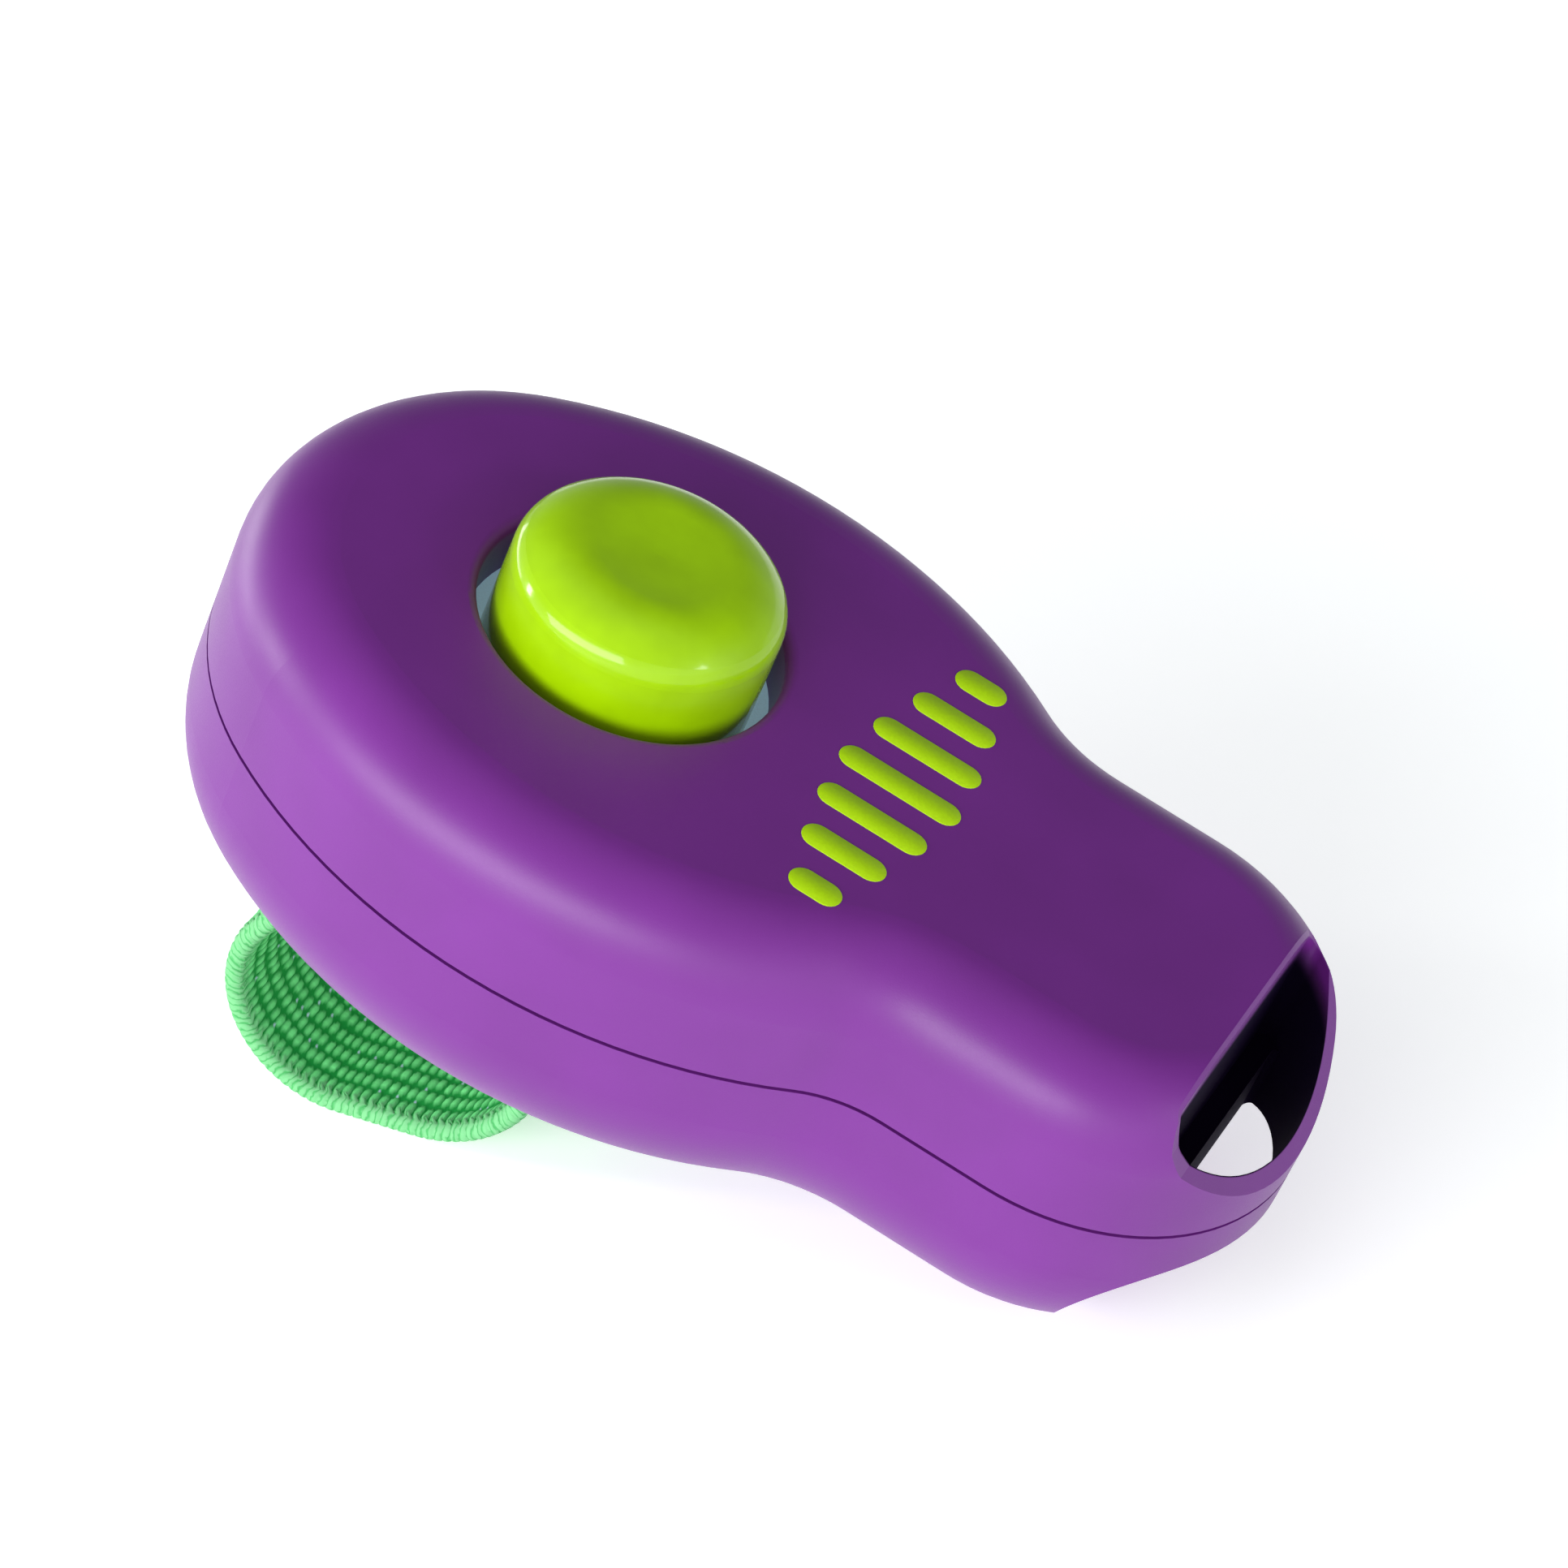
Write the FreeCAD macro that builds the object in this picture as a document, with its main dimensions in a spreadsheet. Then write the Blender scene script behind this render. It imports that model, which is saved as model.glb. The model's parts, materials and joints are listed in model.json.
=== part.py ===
import FreeCAD, Part
import math
import os
import Sketcher

# Hand-held clicker trainer: a pear-shaped two-part case with a thumb button, a
# spring-steel clicker leaf inside, a lanyard tunnel at the tip and an elastic
# finger band underneath.
#
# Every sub-part is drawn lying flat: X runs from the broad rear (0) to the tip,
# Y across, Z up from the flat underside.  At the end one common placement tips
# them all to the resting attitude, where the clicker stands on its finger band
# and on the lower edge of its tip, with Z = 0 the table.

DOC = FreeCAD.newDocument("ClickerTrainer")

DRIVING_SIZES = [
    # case outline, seen from above
    ("body_length", 64.0),
    ("half_width", 19.25),
    ("nose_radius", 17.3),
    ("flank_radius", 29.5),
    ("neck_radius", 8.0),
    ("tip_radius", 12.3),
    # case heights and walls
    ("body_height", 20.2),
    ("parting_height", 11.15),
    ("groove_width", 0.22),
    ("groove_depth", 0.7),
    ("wall", 1.8),
    ("top_fillet", 4.6),
    ("ceiling_fillet", 2.8),
    ("bottom_fillet", 7.5),
    ("floor_fillet", 5.7),
    ("cavity_corner", 6.2),
    ("upper_bulkhead", 56.6),
    ("lower_bulkhead", 54.4),
    # thumb button
    ("button_centre", 20.8),
    ("button_radius", 7.42),
    ("button_rise", 4.95),
    ("button_crease", 1.8),
    ("button_shoulder", 4.0),
    ("button_crown", 4.0),
    ("button_dish", 0.22),
    ("button_wall", 1.6),
    ("hole_radius", 8.35),
    ("hole_lip", 0.6),
    ("collar_wall", 1.4),
    ("collar_depth", 3.3),
    ("flange_radius", 9.3),
    ("flange_thick", 1.2),
    ("slide_gap", 0.1),
    ("presser_radius", 2.3),
    ("presser_land", 0.1),
    ("presser_gap", 0.15),
    ("core_gap", 0.05),
    ("core_headroom", 0.4),
    # clicker leaf and its clamp
    ("leaf_level", 9.0),
    ("leaf_thick", 0.35),
    ("leaf_width", 12.0),
    ("leaf_hinge", 34.0),
    ("leaf_reach", 19.5),
    ("leaf_root_length", 6.5),
    ("dimple_radius", 3.6),
    ("dimple_rise", 0.7),
    ("dimple_fillet", 0.63),
    ("dimple_centre", 28.2),
    ("clamp_thick", 1.0),
    ("clamp_setback", 0.3),
    ("pedestal_margin", 0.6),
    ("leaf_screw_spread", 4.0),
    ("leaf_screw_radius", 0.95),
    ("leaf_screw_length", 6.0),
    ("leaf_pilot_depth", 6.6),
    ("leaf_hole_gap", 0.15),
    # lanyard tunnel and the scoop under the tip
    ("mouth_rear", 58.4),
    ("mouth_rim", 0.75),
    ("mouth_corner", 0.6),
    ("mouth_bevel", 0.22),
    ("outlet_rear", 59.6),
    ("outlet_corner", 0.25),
    ("lip_rear_height", 20.1),
    ("lip_shoulder", 59.1),
    ("lip_shoulder_height", 18.35),
    ("lip_break", 60.0),
    ("lip_break_height", 16.9),
    ("lip_front_height", 12.8),
    ("lip_lean", 8.5),
    ("scoop_x", 64.6),
    ("scoop_z", 1.7),
    ("scoop_radius", 7.1),
    # case screws
    ("side_screw_x", 20.5),
    ("side_screw_y", 13.2),
    ("neck_screw_x", 47.0),
    ("screw_radius", 0.95),
    ("screw_head_radius", 1.9),
    ("screw_head_thick", 1.3),
    ("screw_seat", 4.5),
    ("screw_length", 11.0),
    ("pilot_depth", 5.2),
    ("pilot_gap", 0.03),
    ("shank_gap", 0.2),
    ("boss_radius", 2.7),
    ("boss_root", 1.75),
    ("counterbore_radius", 2.15),
    # elastic finger band
    ("band_width", 16.0),
    ("band_thick", 1.3),
    ("band_rear_radius", 6.7),
    ("band_rear_x", 9.0),
    ("band_front_radius", 8.6),
    ("band_front_x", 28.0),
    ("band_turn_radius", 1.6),
    ("band_inner_rear", 14.2),
    ("band_lift", 0.1),
    ("band_lap_start", 16.5),
    ("band_lap_end", 24.5),
    ("slot_gap", 0.3),
    ("stitch_length", 1.3),
    ("stitch_width", 0.45),
    ("stitch_height", 0.3),
    ("stitch_inset", 1.6),
    # attitude at rest, nose-down about Y, in degrees
    ("rest_pitch", 20.33),
]


def make_sheet():
    """Size sheet: one named cell per driving dimension."""
    sheet = DOC.addObject("Spreadsheet::Sheet", "Sizes")
    for row, (name, size) in enumerate(DRIVING_SIZES, start=1):
        sheet.set("A%d" % row, name)
        sheet.set("B%d" % row, str(size))
        sheet.setAlias("B%d" % row, name)
    DOC.recompute()
    return sheet


SIZES = make_sheet()


def value(expression):
    """Number that an expression of the size sheet stands for."""
    return float(SIZES.evalExpression(expression))


def vector(x, z):
    """Point on the lengthwise mid-plane."""
    return FreeCAD.Vector(x, 0, z)


# ---------------------------------------------------------------- sketch helpers

START = 1
END = 2
CENTRE = 3
AXIS = -1
AXIS_SIDE = -2

# expression for a place on the sheet's axis, and depths that pass right through
ZERO = "0"
ACROSS_CASE = "3 * Sizes.half_width"
THROUGH_FLOOR = "1.5 * Sizes.wall"
OVER_TOP = "Sizes.body_height + Sizes.top_fillet"


def new_body(label):
    """Empty PartDesign body, labelled with the name of its node."""
    body = DOC.addObject("PartDesign::Body", label)
    body.Label = label
    return body


def new_sketch(body, name, plane="XY_Plane", offset=None, lean=None):
    """Sketch on one of the body's own origin planes, lifted or leant by an expression."""
    sketch = body.newObject("Sketcher::SketchObject", name)
    for feature in body.Origin.OriginFeatures:
        if feature.Role == plane:
            sketch.AttachmentSupport = [(feature, "")]
    sketch.MapMode = "FlatFace"
    if offset:
        sketch.setExpression("AttachmentOffset.Base.z", offset)
    if lean:
        along = FreeCAD.Rotation(FreeCAD.Vector(1, 0, 0), value(lean))
        sketch.AttachmentOffset = FreeCAD.Placement(FreeCAD.Vector(), along)
        sketch.setExpression("AttachmentOffset.Rotation.Angle", lean)
    return sketch


def flat_vector(x, y):
    """Point in a sketch's own plane."""
    return FreeCAD.Vector(x, y, 0)


def bind(sketch, kind, places, expression):
    """Dimension a sketch with a constraint that follows the size sheet."""
    index = sketch.addConstraint(Sketcher.Constraint(kind, *places, value(expression)))
    sketch.setExpression("Constraints[%d]" % index, expression)


def arc(sketch, centre, radius, start_angle, end_angle):
    """Anticlockwise arc; the angles are in degrees."""
    circle = Part.Circle(flat_vector(*centre), FreeCAD.Vector(0, 0, 1), radius)
    curve = Part.ArcOfCircle(circle, math.radians(start_angle), math.radians(end_angle))
    return sketch.addGeometry(curve, False)


def line(sketch, start, end):
    """Straight side from start to end."""
    return sketch.addGeometry(Part.LineSegment(flat_vector(*start), flat_vector(*end)), False)


def join_tangent(sketch, joints):
    """Join sides end to end without a corner."""
    for first, first_end, second, second_end in joints:
        sketch.addConstraint(Sketcher.Constraint("Tangent", first, first_end, second, second_end))


def circle(sketch, x, y, radius):
    """Full circle with its centre and radius tied to the size sheet."""
    curve = Part.Circle(flat_vector(value(x), value(y)), FreeCAD.Vector(0, 0, 1), value(radius))
    side = sketch.addGeometry(curve, False)
    place_point(sketch, side, CENTRE, x, y)
    bind(sketch, "Radius", (side,), radius)
    return side


def place_point(sketch, side, point, x, y):
    """Tie a point of a side to the sketch's origin by expressions of the size sheet."""
    if value(x) == 0.0:
        sketch.addConstraint(Sketcher.Constraint("PointOnObject", side, point, AXIS_SIDE))
    else:
        bind(sketch, "DistanceX", (AXIS, START, side, point), x)
    if value(y) == 0.0:
        sketch.addConstraint(Sketcher.Constraint("PointOnObject", side, point, AXIS))
    else:
        bind(sketch, "DistanceY", (AXIS, START, side, point), y)


def polygon(sketch, corners):
    """Closed straight-sided outline; each corner is a pair of expressions."""
    points = [(value(x), value(y)) for x, y in corners]
    sides = []
    for index, point in enumerate(points):
        following = points[(index + 1) % len(points)]
        sides.append(line(sketch, point, following))
    for index, side in enumerate(sides):
        following = sides[(index + 1) % len(sides)]
        sketch.addConstraint(Sketcher.Constraint("Coincident", side, END, following, START))
    for side, (x, y) in zip(sides, corners):
        place_point(sketch, side, START, x, y)
    return sides


def rectangle(sketch, x_low, x_high, y_low, y_high):
    """Upright rectangle between four expressions."""
    polygon(sketch, [(x_low, y_low), (x_high, y_low), (x_high, y_high), (x_low, y_high)])


# --------------------------------------------------------------- feature helpers

def compute(feature):
    """Recompute, and stop at the first feature that fails."""
    DOC.recompute()
    if "Invalid" in feature.State or "Error" in feature.State or feature.Shape.isNull():
        raise RuntimeError("%s did not compute" % feature.Name)
    return feature


def pad(body, sketch, name, length, symmetric=False, downward=False):
    """Pad a sketch by an expression."""
    feature = body.newObject("PartDesign::Pad", name)
    feature.Profile = sketch
    feature.setExpression("Length", length)
    if symmetric:
        feature.SideType = "Symmetric"
    feature.Reversed = downward
    return compute(feature)


def pocket(body, sketch, name, length=None, symmetric=False, upward=False):
    """Cut a sketch out of the body, and make sure that it really removed material."""
    before = body.Shape.Volume
    feature = body.newObject("PartDesign::Pocket", name)
    feature.Profile = sketch
    if length:
        feature.setExpression("Length", length)
    else:
        feature.Type = "ThroughAll"
    if symmetric:
        feature.SideType = "Symmetric"
    feature.Reversed = upward
    compute(feature)
    if body.Shape.Volume > before - 1e-3:
        raise RuntimeError("%s removed nothing from %s" % (name, body.Label))
    return feature


def edge_names(shape, wanted):
    """Names of the edges whose bounding box passes a test."""
    names = []
    for index, edge in enumerate(shape.Edges, start=1):
        if wanted(edge.BoundBox):
            names.append("Edge%d" % index)
    return names


def level(box, height):
    """True for an edge that lies wholly at one height."""
    return abs(box.ZMin - height) < 1e-4 and abs(box.ZMax - height) < 1e-4


def fillet(body, name, radius, wanted):
    """Round the edges that pass a test, by an expression."""
    base = body.Tip
    feature = body.newObject("PartDesign::Fillet", name)
    feature.Base = (base, edge_names(base.Shape, wanted))
    feature.setExpression("Radius", radius)
    return compute(feature)


def chamfer(body, name, size, wanted):
    """Bevel the edges that pass a test, by an expression."""
    base = body.Tip
    feature = body.newObject("PartDesign::Chamfer", name)
    feature.Base = (base, edge_names(base.Shape, wanted))
    feature.setExpression("Size", size)
    return compute(feature)


def revolve(body, sketch, name):
    """Turn a sketch once about its own vertical line through the sheet's axis."""
    feature = body.newObject("PartDesign::Revolution", name)
    feature.Profile = sketch
    feature.ReferenceAxis = (sketch, ["V_Axis"])
    feature.Angle = 360.0
    return compute(feature)


# ------------------------------------------------------------------ case outline

def rear_centres():
    """Centres of the nose, flank and neck arcs of the pear-shaped outline."""
    nose = value("Sizes.nose_radius")
    flank = value("Sizes.flank_radius")
    neck = value("Sizes.neck_radius")
    tip = value("Sizes.tip_radius")
    flank_y = flank - value("Sizes.half_width")
    flank_x = nose + math.sqrt((flank - nose) ** 2 - flank_y ** 2)
    neck_y = tip + neck
    neck_x = flank_x + math.sqrt((flank + neck) ** 2 - (neck_y + flank_y) ** 2)
    return (nose, 0.0), (flank_x, flank_y), (neck_x, neck_y)


def pear_outline(sketch, inset, bulkhead=None):
    """Pear-shaped case outline, moved inwards by an expression.

    Nose, flanks and neck are tangent arcs.  The front is the round tip, or a
    straight bulkhead with rounded corners where one is given.
    """
    shift = value(inset)
    nose_centre, flank_centre, neck_centre = rear_centres()
    flank_x, flank_y = flank_centre
    neck_x, neck_y = neck_centre
    nose_turn = math.degrees(math.atan2(flank_y, nose_centre[0] - flank_x))
    neck_turn = math.degrees(math.atan2(neck_y + flank_y, neck_x - flank_x))
    nose_radius = value("Sizes.nose_radius") - shift
    flank_radius = value("Sizes.flank_radius") - shift
    neck_radius = value("Sizes.neck_radius") + shift
    tip_radius = value("Sizes.tip_radius") - shift

    nose = arc(sketch, nose_centre, nose_radius, nose_turn, 360 - nose_turn)
    right_flank = arc(sketch, (flank_x, flank_y), flank_radius, 360 - nose_turn, 360 - neck_turn)
    right_neck = arc(sketch, (neck_x, -neck_y), neck_radius, 90, 180 - neck_turn)
    left_neck = arc(sketch, (neck_x, neck_y), neck_radius, 180 + neck_turn, 270)
    left_flank = arc(sketch, (flank_x, -flank_y), flank_radius, neck_turn, nose_turn)
    if bulkhead:
        front_x = value(bulkhead)
        corner = value("Sizes.cavity_corner")
        turn_x = front_x - corner
        turn_y = tip_radius - corner
    else:
        turn_x = value("Sizes.body_length - Sizes.tip_radius")
    right_side = line(sketch, (neck_x, -tip_radius), (turn_x, -tip_radius))
    left_side = line(sketch, (turn_x, tip_radius), (neck_x, tip_radius))
    joints = [
        (nose, END, right_flank, START),
        (right_flank, END, right_neck, END),
        (right_neck, START, right_side, START),
        (left_side, END, left_neck, END),
        (left_neck, START, left_flank, START),
        (left_flank, END, nose, START),
    ]
    if bulkhead:
        right_corner = arc(sketch, (turn_x, -turn_y), corner, 270, 360)
        front = line(sketch, (front_x, -turn_y), (front_x, turn_y))
        left_corner = arc(sketch, (turn_x, turn_y), corner, 0, 90)
        joints += [
            (right_side, END, right_corner, START),
            (right_corner, END, front, START),
            (front, END, left_corner, START),
            (left_corner, END, left_side, START),
        ]
    else:
        tip = arc(sketch, (turn_x, 0), tip_radius, 270, 450)
        joints += [
            (right_side, END, tip, START),
            (tip, END, left_side, START),
        ]
    join_tangent(sketch, joints)

    place_point(sketch, nose, CENTRE, "Sizes.nose_radius", ZERO)
    bind(sketch, "Radius", (nose,), "Sizes.nose_radius - (%s)" % inset)
    for flank, sign in ((right_flank, ""), (left_flank, "-")):
        bind(sketch, "Radius", (flank,), "Sizes.flank_radius - (%s)" % inset)
        rise = "%s(Sizes.flank_radius - Sizes.half_width)" % sign
        bind(sketch, "DistanceY", (AXIS, START, flank, CENTRE), rise)
    for neck in (right_neck, left_neck):
        bind(sketch, "Radius", (neck,), "Sizes.neck_radius + (%s)" % inset)
    for side in (right_side, left_side):
        sketch.addConstraint(Sketcher.Constraint("Horizontal", side))
    if bulkhead:
        for corner_side in (right_corner, left_corner):
            bind(sketch, "Radius", (corner_side,), "Sizes.cavity_corner")
        for side, sign in ((right_side, "-"), (left_side, "")):
            height = "%s(Sizes.tip_radius - (%s))" % (sign, inset)
            bind(sketch, "DistanceY", (AXIS, START, side, START), height)
        sketch.addConstraint(Sketcher.Constraint("Vertical", front))
        bind(sketch, "DistanceX", (AXIS, START, front, START), bulkhead)
    else:
        place_point(sketch, tip, CENTRE, "Sizes.body_length - Sizes.tip_radius", ZERO)


def tunnel_outline(sketch, rear, inset, corner):
    """D shape of the lanyard tunnel: straight at the rear, round along the tip."""
    tip_x = value("Sizes.body_length - Sizes.tip_radius")
    radius = value("Sizes.tip_radius - %s" % inset)
    rear_x = value(rear)
    corner_radius = value(corner)
    corner_x = rear_x + corner_radius
    corner_y = math.sqrt((radius - corner_radius) ** 2 - (corner_x - tip_x) ** 2)
    turn = math.degrees(math.atan2(corner_y, corner_x - tip_x))
    front = arc(sketch, (tip_x, 0), radius, -turn, turn)
    left_corner = arc(sketch, (corner_x, corner_y), corner_radius, turn, 180)
    back = line(sketch, (rear_x, corner_y), (rear_x, -corner_y))
    right_corner = arc(sketch, (corner_x, -corner_y), corner_radius, 180, 360 - turn)
    join_tangent(sketch, [
        (front, END, left_corner, START),
        (left_corner, END, back, START),
        (back, END, right_corner, START),
        (right_corner, END, front, START),
    ])
    place_point(sketch, front, CENTRE, "Sizes.body_length - Sizes.tip_radius", ZERO)
    bind(sketch, "Radius", (front,), "Sizes.tip_radius - %s" % inset)
    for corner_side in (left_corner, right_corner):
        bind(sketch, "Radius", (corner_side,), corner)
    sketch.addConstraint(Sketcher.Constraint("Vertical", back))
    bind(sketch, "DistanceX", (AXIS, START, back, START), rear)


SCREW_PLACES = [
    ("Sizes.side_screw_x", "Sizes.side_screw_y"),
    ("Sizes.side_screw_x", "-Sizes.side_screw_y"),
    ("Sizes.neck_screw_x", ZERO),
]


LEAF_SCREW_X = "Sizes.leaf_hinge + Sizes.leaf_root_length / 2"
LEAF_SCREW_PLACES = [
    (LEAF_SCREW_X, "Sizes.leaf_screw_spread"),
    (LEAF_SCREW_X, "-Sizes.leaf_screw_spread"),
]


def screw_circles(sketch, radius):
    """One circle on the axis of each case screw."""
    for x, y in SCREW_PLACES:
        circle(sketch, x, y, radius)


def leaf_screw_circles(sketch, radius):
    """One circle on the axis of each leaf screw."""
    for x, y in LEAF_SCREW_PLACES:
        circle(sketch, x, y, radius)


# ------------------------------------------------------------------- case halves

def make_upper_shell():
    """Upper half of the case with the button hole, its collar and the tunnel mouth."""
    body = new_body("upper_shell")
    top = value("Sizes.body_height")
    ceiling = value("Sizes.body_height - Sizes.wall")

    outline = new_sketch(body, "upper_outline", offset="Sizes.parting_height")
    pear_outline(outline, ZERO)
    pad(body, outline, "upper_block", "Sizes.body_height - Sizes.parting_height")
    fillet(body, "upper_round", "Sizes.top_fillet", lambda box: level(box, top))

    cavity = new_sketch(body, "upper_cavity", offset="Sizes.parting_height")
    pear_outline(cavity, "Sizes.wall", "Sizes.upper_bulkhead")
    depth = "Sizes.body_height - Sizes.wall - Sizes.parting_height"
    pocket(body, cavity, "upper_hollow", depth, upward=True)
    fillet(body, "ceiling_round", "Sizes.ceiling_fillet", lambda box: level(box, ceiling))

    collar = new_sketch(body, "collar_ring", offset="Sizes.body_height - Sizes.collar_depth")
    centre = "Sizes.button_centre"
    circle(collar, centre, ZERO, "Sizes.hole_radius + Sizes.collar_wall")
    pad(body, collar, "collar", "Sizes.collar_depth - Sizes.wall / 2")

    bosses = new_sketch(body, "upper_boss_rings", offset="Sizes.parting_height")
    screw_circles(bosses, "Sizes.boss_radius")
    pad(body, bosses, "upper_bosses", "Sizes.body_height - Sizes.parting_height - Sizes.wall / 2")

    hole = new_sketch(body, "button_hole_ring", offset="Sizes.body_height")
    circle(hole, centre, ZERO, "Sizes.hole_radius")
    pocket(body, hole, "button_hole")
    hole_reach = value("Sizes.hole_radius")
    hole_x = value(centre)
    fillet(
        body,
        "hole_round",
        "Sizes.hole_lip",
        lambda box: level(box, top)
        and abs(box.XMax - hole_x - hole_reach) < 0.01
        and abs(box.XMin - hole_x + hole_reach) < 0.01,
    )

    mouth = new_sketch(body, "mouth_outline", offset="Sizes.body_height")
    tunnel_outline(mouth, "Sizes.mouth_rear", "Sizes.mouth_rim", "Sizes.mouth_corner")
    pocket(body, mouth, "mouth")
    mouth_rear = value("Sizes.mouth_rear")
    chamfer(
        body,
        "mouth_bevel",
        "Sizes.mouth_bevel",
        lambda box: level(box, top) and abs(box.XMin - mouth_rear) < 0.01 and box.YLength > 1.0,
    )

    # the rim falls towards the tip, at first steeply, and lower on one side than on the other
    lip = new_sketch(body, "lip_slope", plane="XZ_Plane", lean="Sizes.lip_lean")
    polygon(lip, [
        ("Sizes.mouth_rear", "Sizes.lip_rear_height"),
        ("Sizes.lip_shoulder", "Sizes.lip_shoulder_height"),
        ("Sizes.lip_break", "Sizes.lip_break_height"),
        ("Sizes.body_length", "Sizes.lip_front_height"),
        ("Sizes.body_length", OVER_TOP),
        ("Sizes.mouth_rear", OVER_TOP),
    ])
    pocket(body, lip, "lip_cut", ACROSS_CASE, symmetric=True)

    pilots = new_sketch(body, "pilot_rings", offset="Sizes.parting_height")
    screw_circles(pilots, "Sizes.screw_radius + Sizes.pilot_gap")
    pocket(body, pilots, "pilot_holes", "Sizes.pilot_depth", upward=True)
    return body


def make_lower_shell():
    """Lower half with the band slots, leaf pedestal, screw bosses and tip scoop."""
    body = new_body("lower_shell")
    outline = new_sketch(body, "lower_outline")
    pear_outline(outline, ZERO)
    pad(body, outline, "lower_block", "Sizes.parting_height - Sizes.groove_width")

    rim = new_sketch(body, "rim_outline", offset="Sizes.parting_height - Sizes.groove_width")
    pear_outline(rim, "Sizes.groove_depth")
    pad(body, rim, "rim", "Sizes.groove_width")

    # the floor is rounded before the underside, because a square-edged cavity
    # would break through the rounded underside
    cavity = new_sketch(body, "lower_cavity", offset="Sizes.parting_height")
    pear_outline(cavity, "Sizes.wall", "Sizes.lower_bulkhead")
    pocket(body, cavity, "lower_hollow", "Sizes.parting_height - Sizes.wall")
    floor = value("Sizes.wall")
    fillet(body, "floor_round", "Sizes.floor_fillet", lambda box: level(box, floor))
    fillet(body, "lower_round", "Sizes.bottom_fillet", lambda box: level(box, 0.0))

    bosses = new_sketch(body, "lower_boss_rings", offset="Sizes.boss_root")
    screw_circles(bosses, "Sizes.boss_radius")
    pad(body, bosses, "lower_bosses", "Sizes.parting_height - Sizes.boss_root")

    pedestal = new_sketch(body, "pedestal_outline", offset="Sizes.wall / 2")
    half = "(Sizes.leaf_width / 2 + Sizes.pedestal_margin)"
    rectangle(
        pedestal,
        "Sizes.leaf_hinge",
        "Sizes.leaf_hinge + Sizes.leaf_root_length + Sizes.pedestal_margin",
        "-" + half,
        half,
    )
    pad(body, pedestal, "pedestal", "Sizes.leaf_level - Sizes.leaf_thick - Sizes.wall / 2")

    heads = new_sketch(body, "counterbore_rings")
    screw_circles(heads, "Sizes.counterbore_radius")
    pocket(body, heads, "counterbores", "Sizes.screw_seat", upward=True)
    shanks = new_sketch(body, "clearance_rings")
    screw_circles(shanks, "Sizes.screw_radius + Sizes.shank_gap")
    pocket(body, shanks, "clearance_holes", upward=True)

    leaf_holes = new_sketch(body, "leaf_pilot_rings", offset="Sizes.leaf_level")
    leaf_screw_circles(leaf_holes, "Sizes.leaf_screw_radius + Sizes.pilot_gap")
    pocket(body, leaf_holes, "leaf_pilot_holes", "Sizes.leaf_pilot_depth")

    slots = new_sketch(body, "slot_outlines")
    reach = "(Sizes.band_width / 2 + Sizes.slot_gap)"
    rear_low, rear_high = slot_span("rear")
    front_low, front_high = slot_span("front")
    rectangle(slots, rear_low, rear_high, "-" + reach, reach)
    rectangle(slots, front_low, front_high, "-" + reach, reach)
    pocket(body, slots, "band_slots", THROUGH_FLOOR, upward=True)

    scoop = new_sketch(body, "scoop_circle", plane="XZ_Plane")
    circle(scoop, "Sizes.scoop_x", "Sizes.scoop_z", "Sizes.scoop_radius")
    pocket(body, scoop, "tip_scoop", ACROSS_CASE, symmetric=True)

    outlet = new_sketch(body, "outlet_outline", offset="Sizes.body_height")
    tunnel_outline(outlet, "Sizes.outlet_rear", "Sizes.mouth_rim", "Sizes.outlet_corner")
    pocket(body, outlet, "outlet")
    return body


# ------------------------------------------------------------------ thumb button

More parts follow.
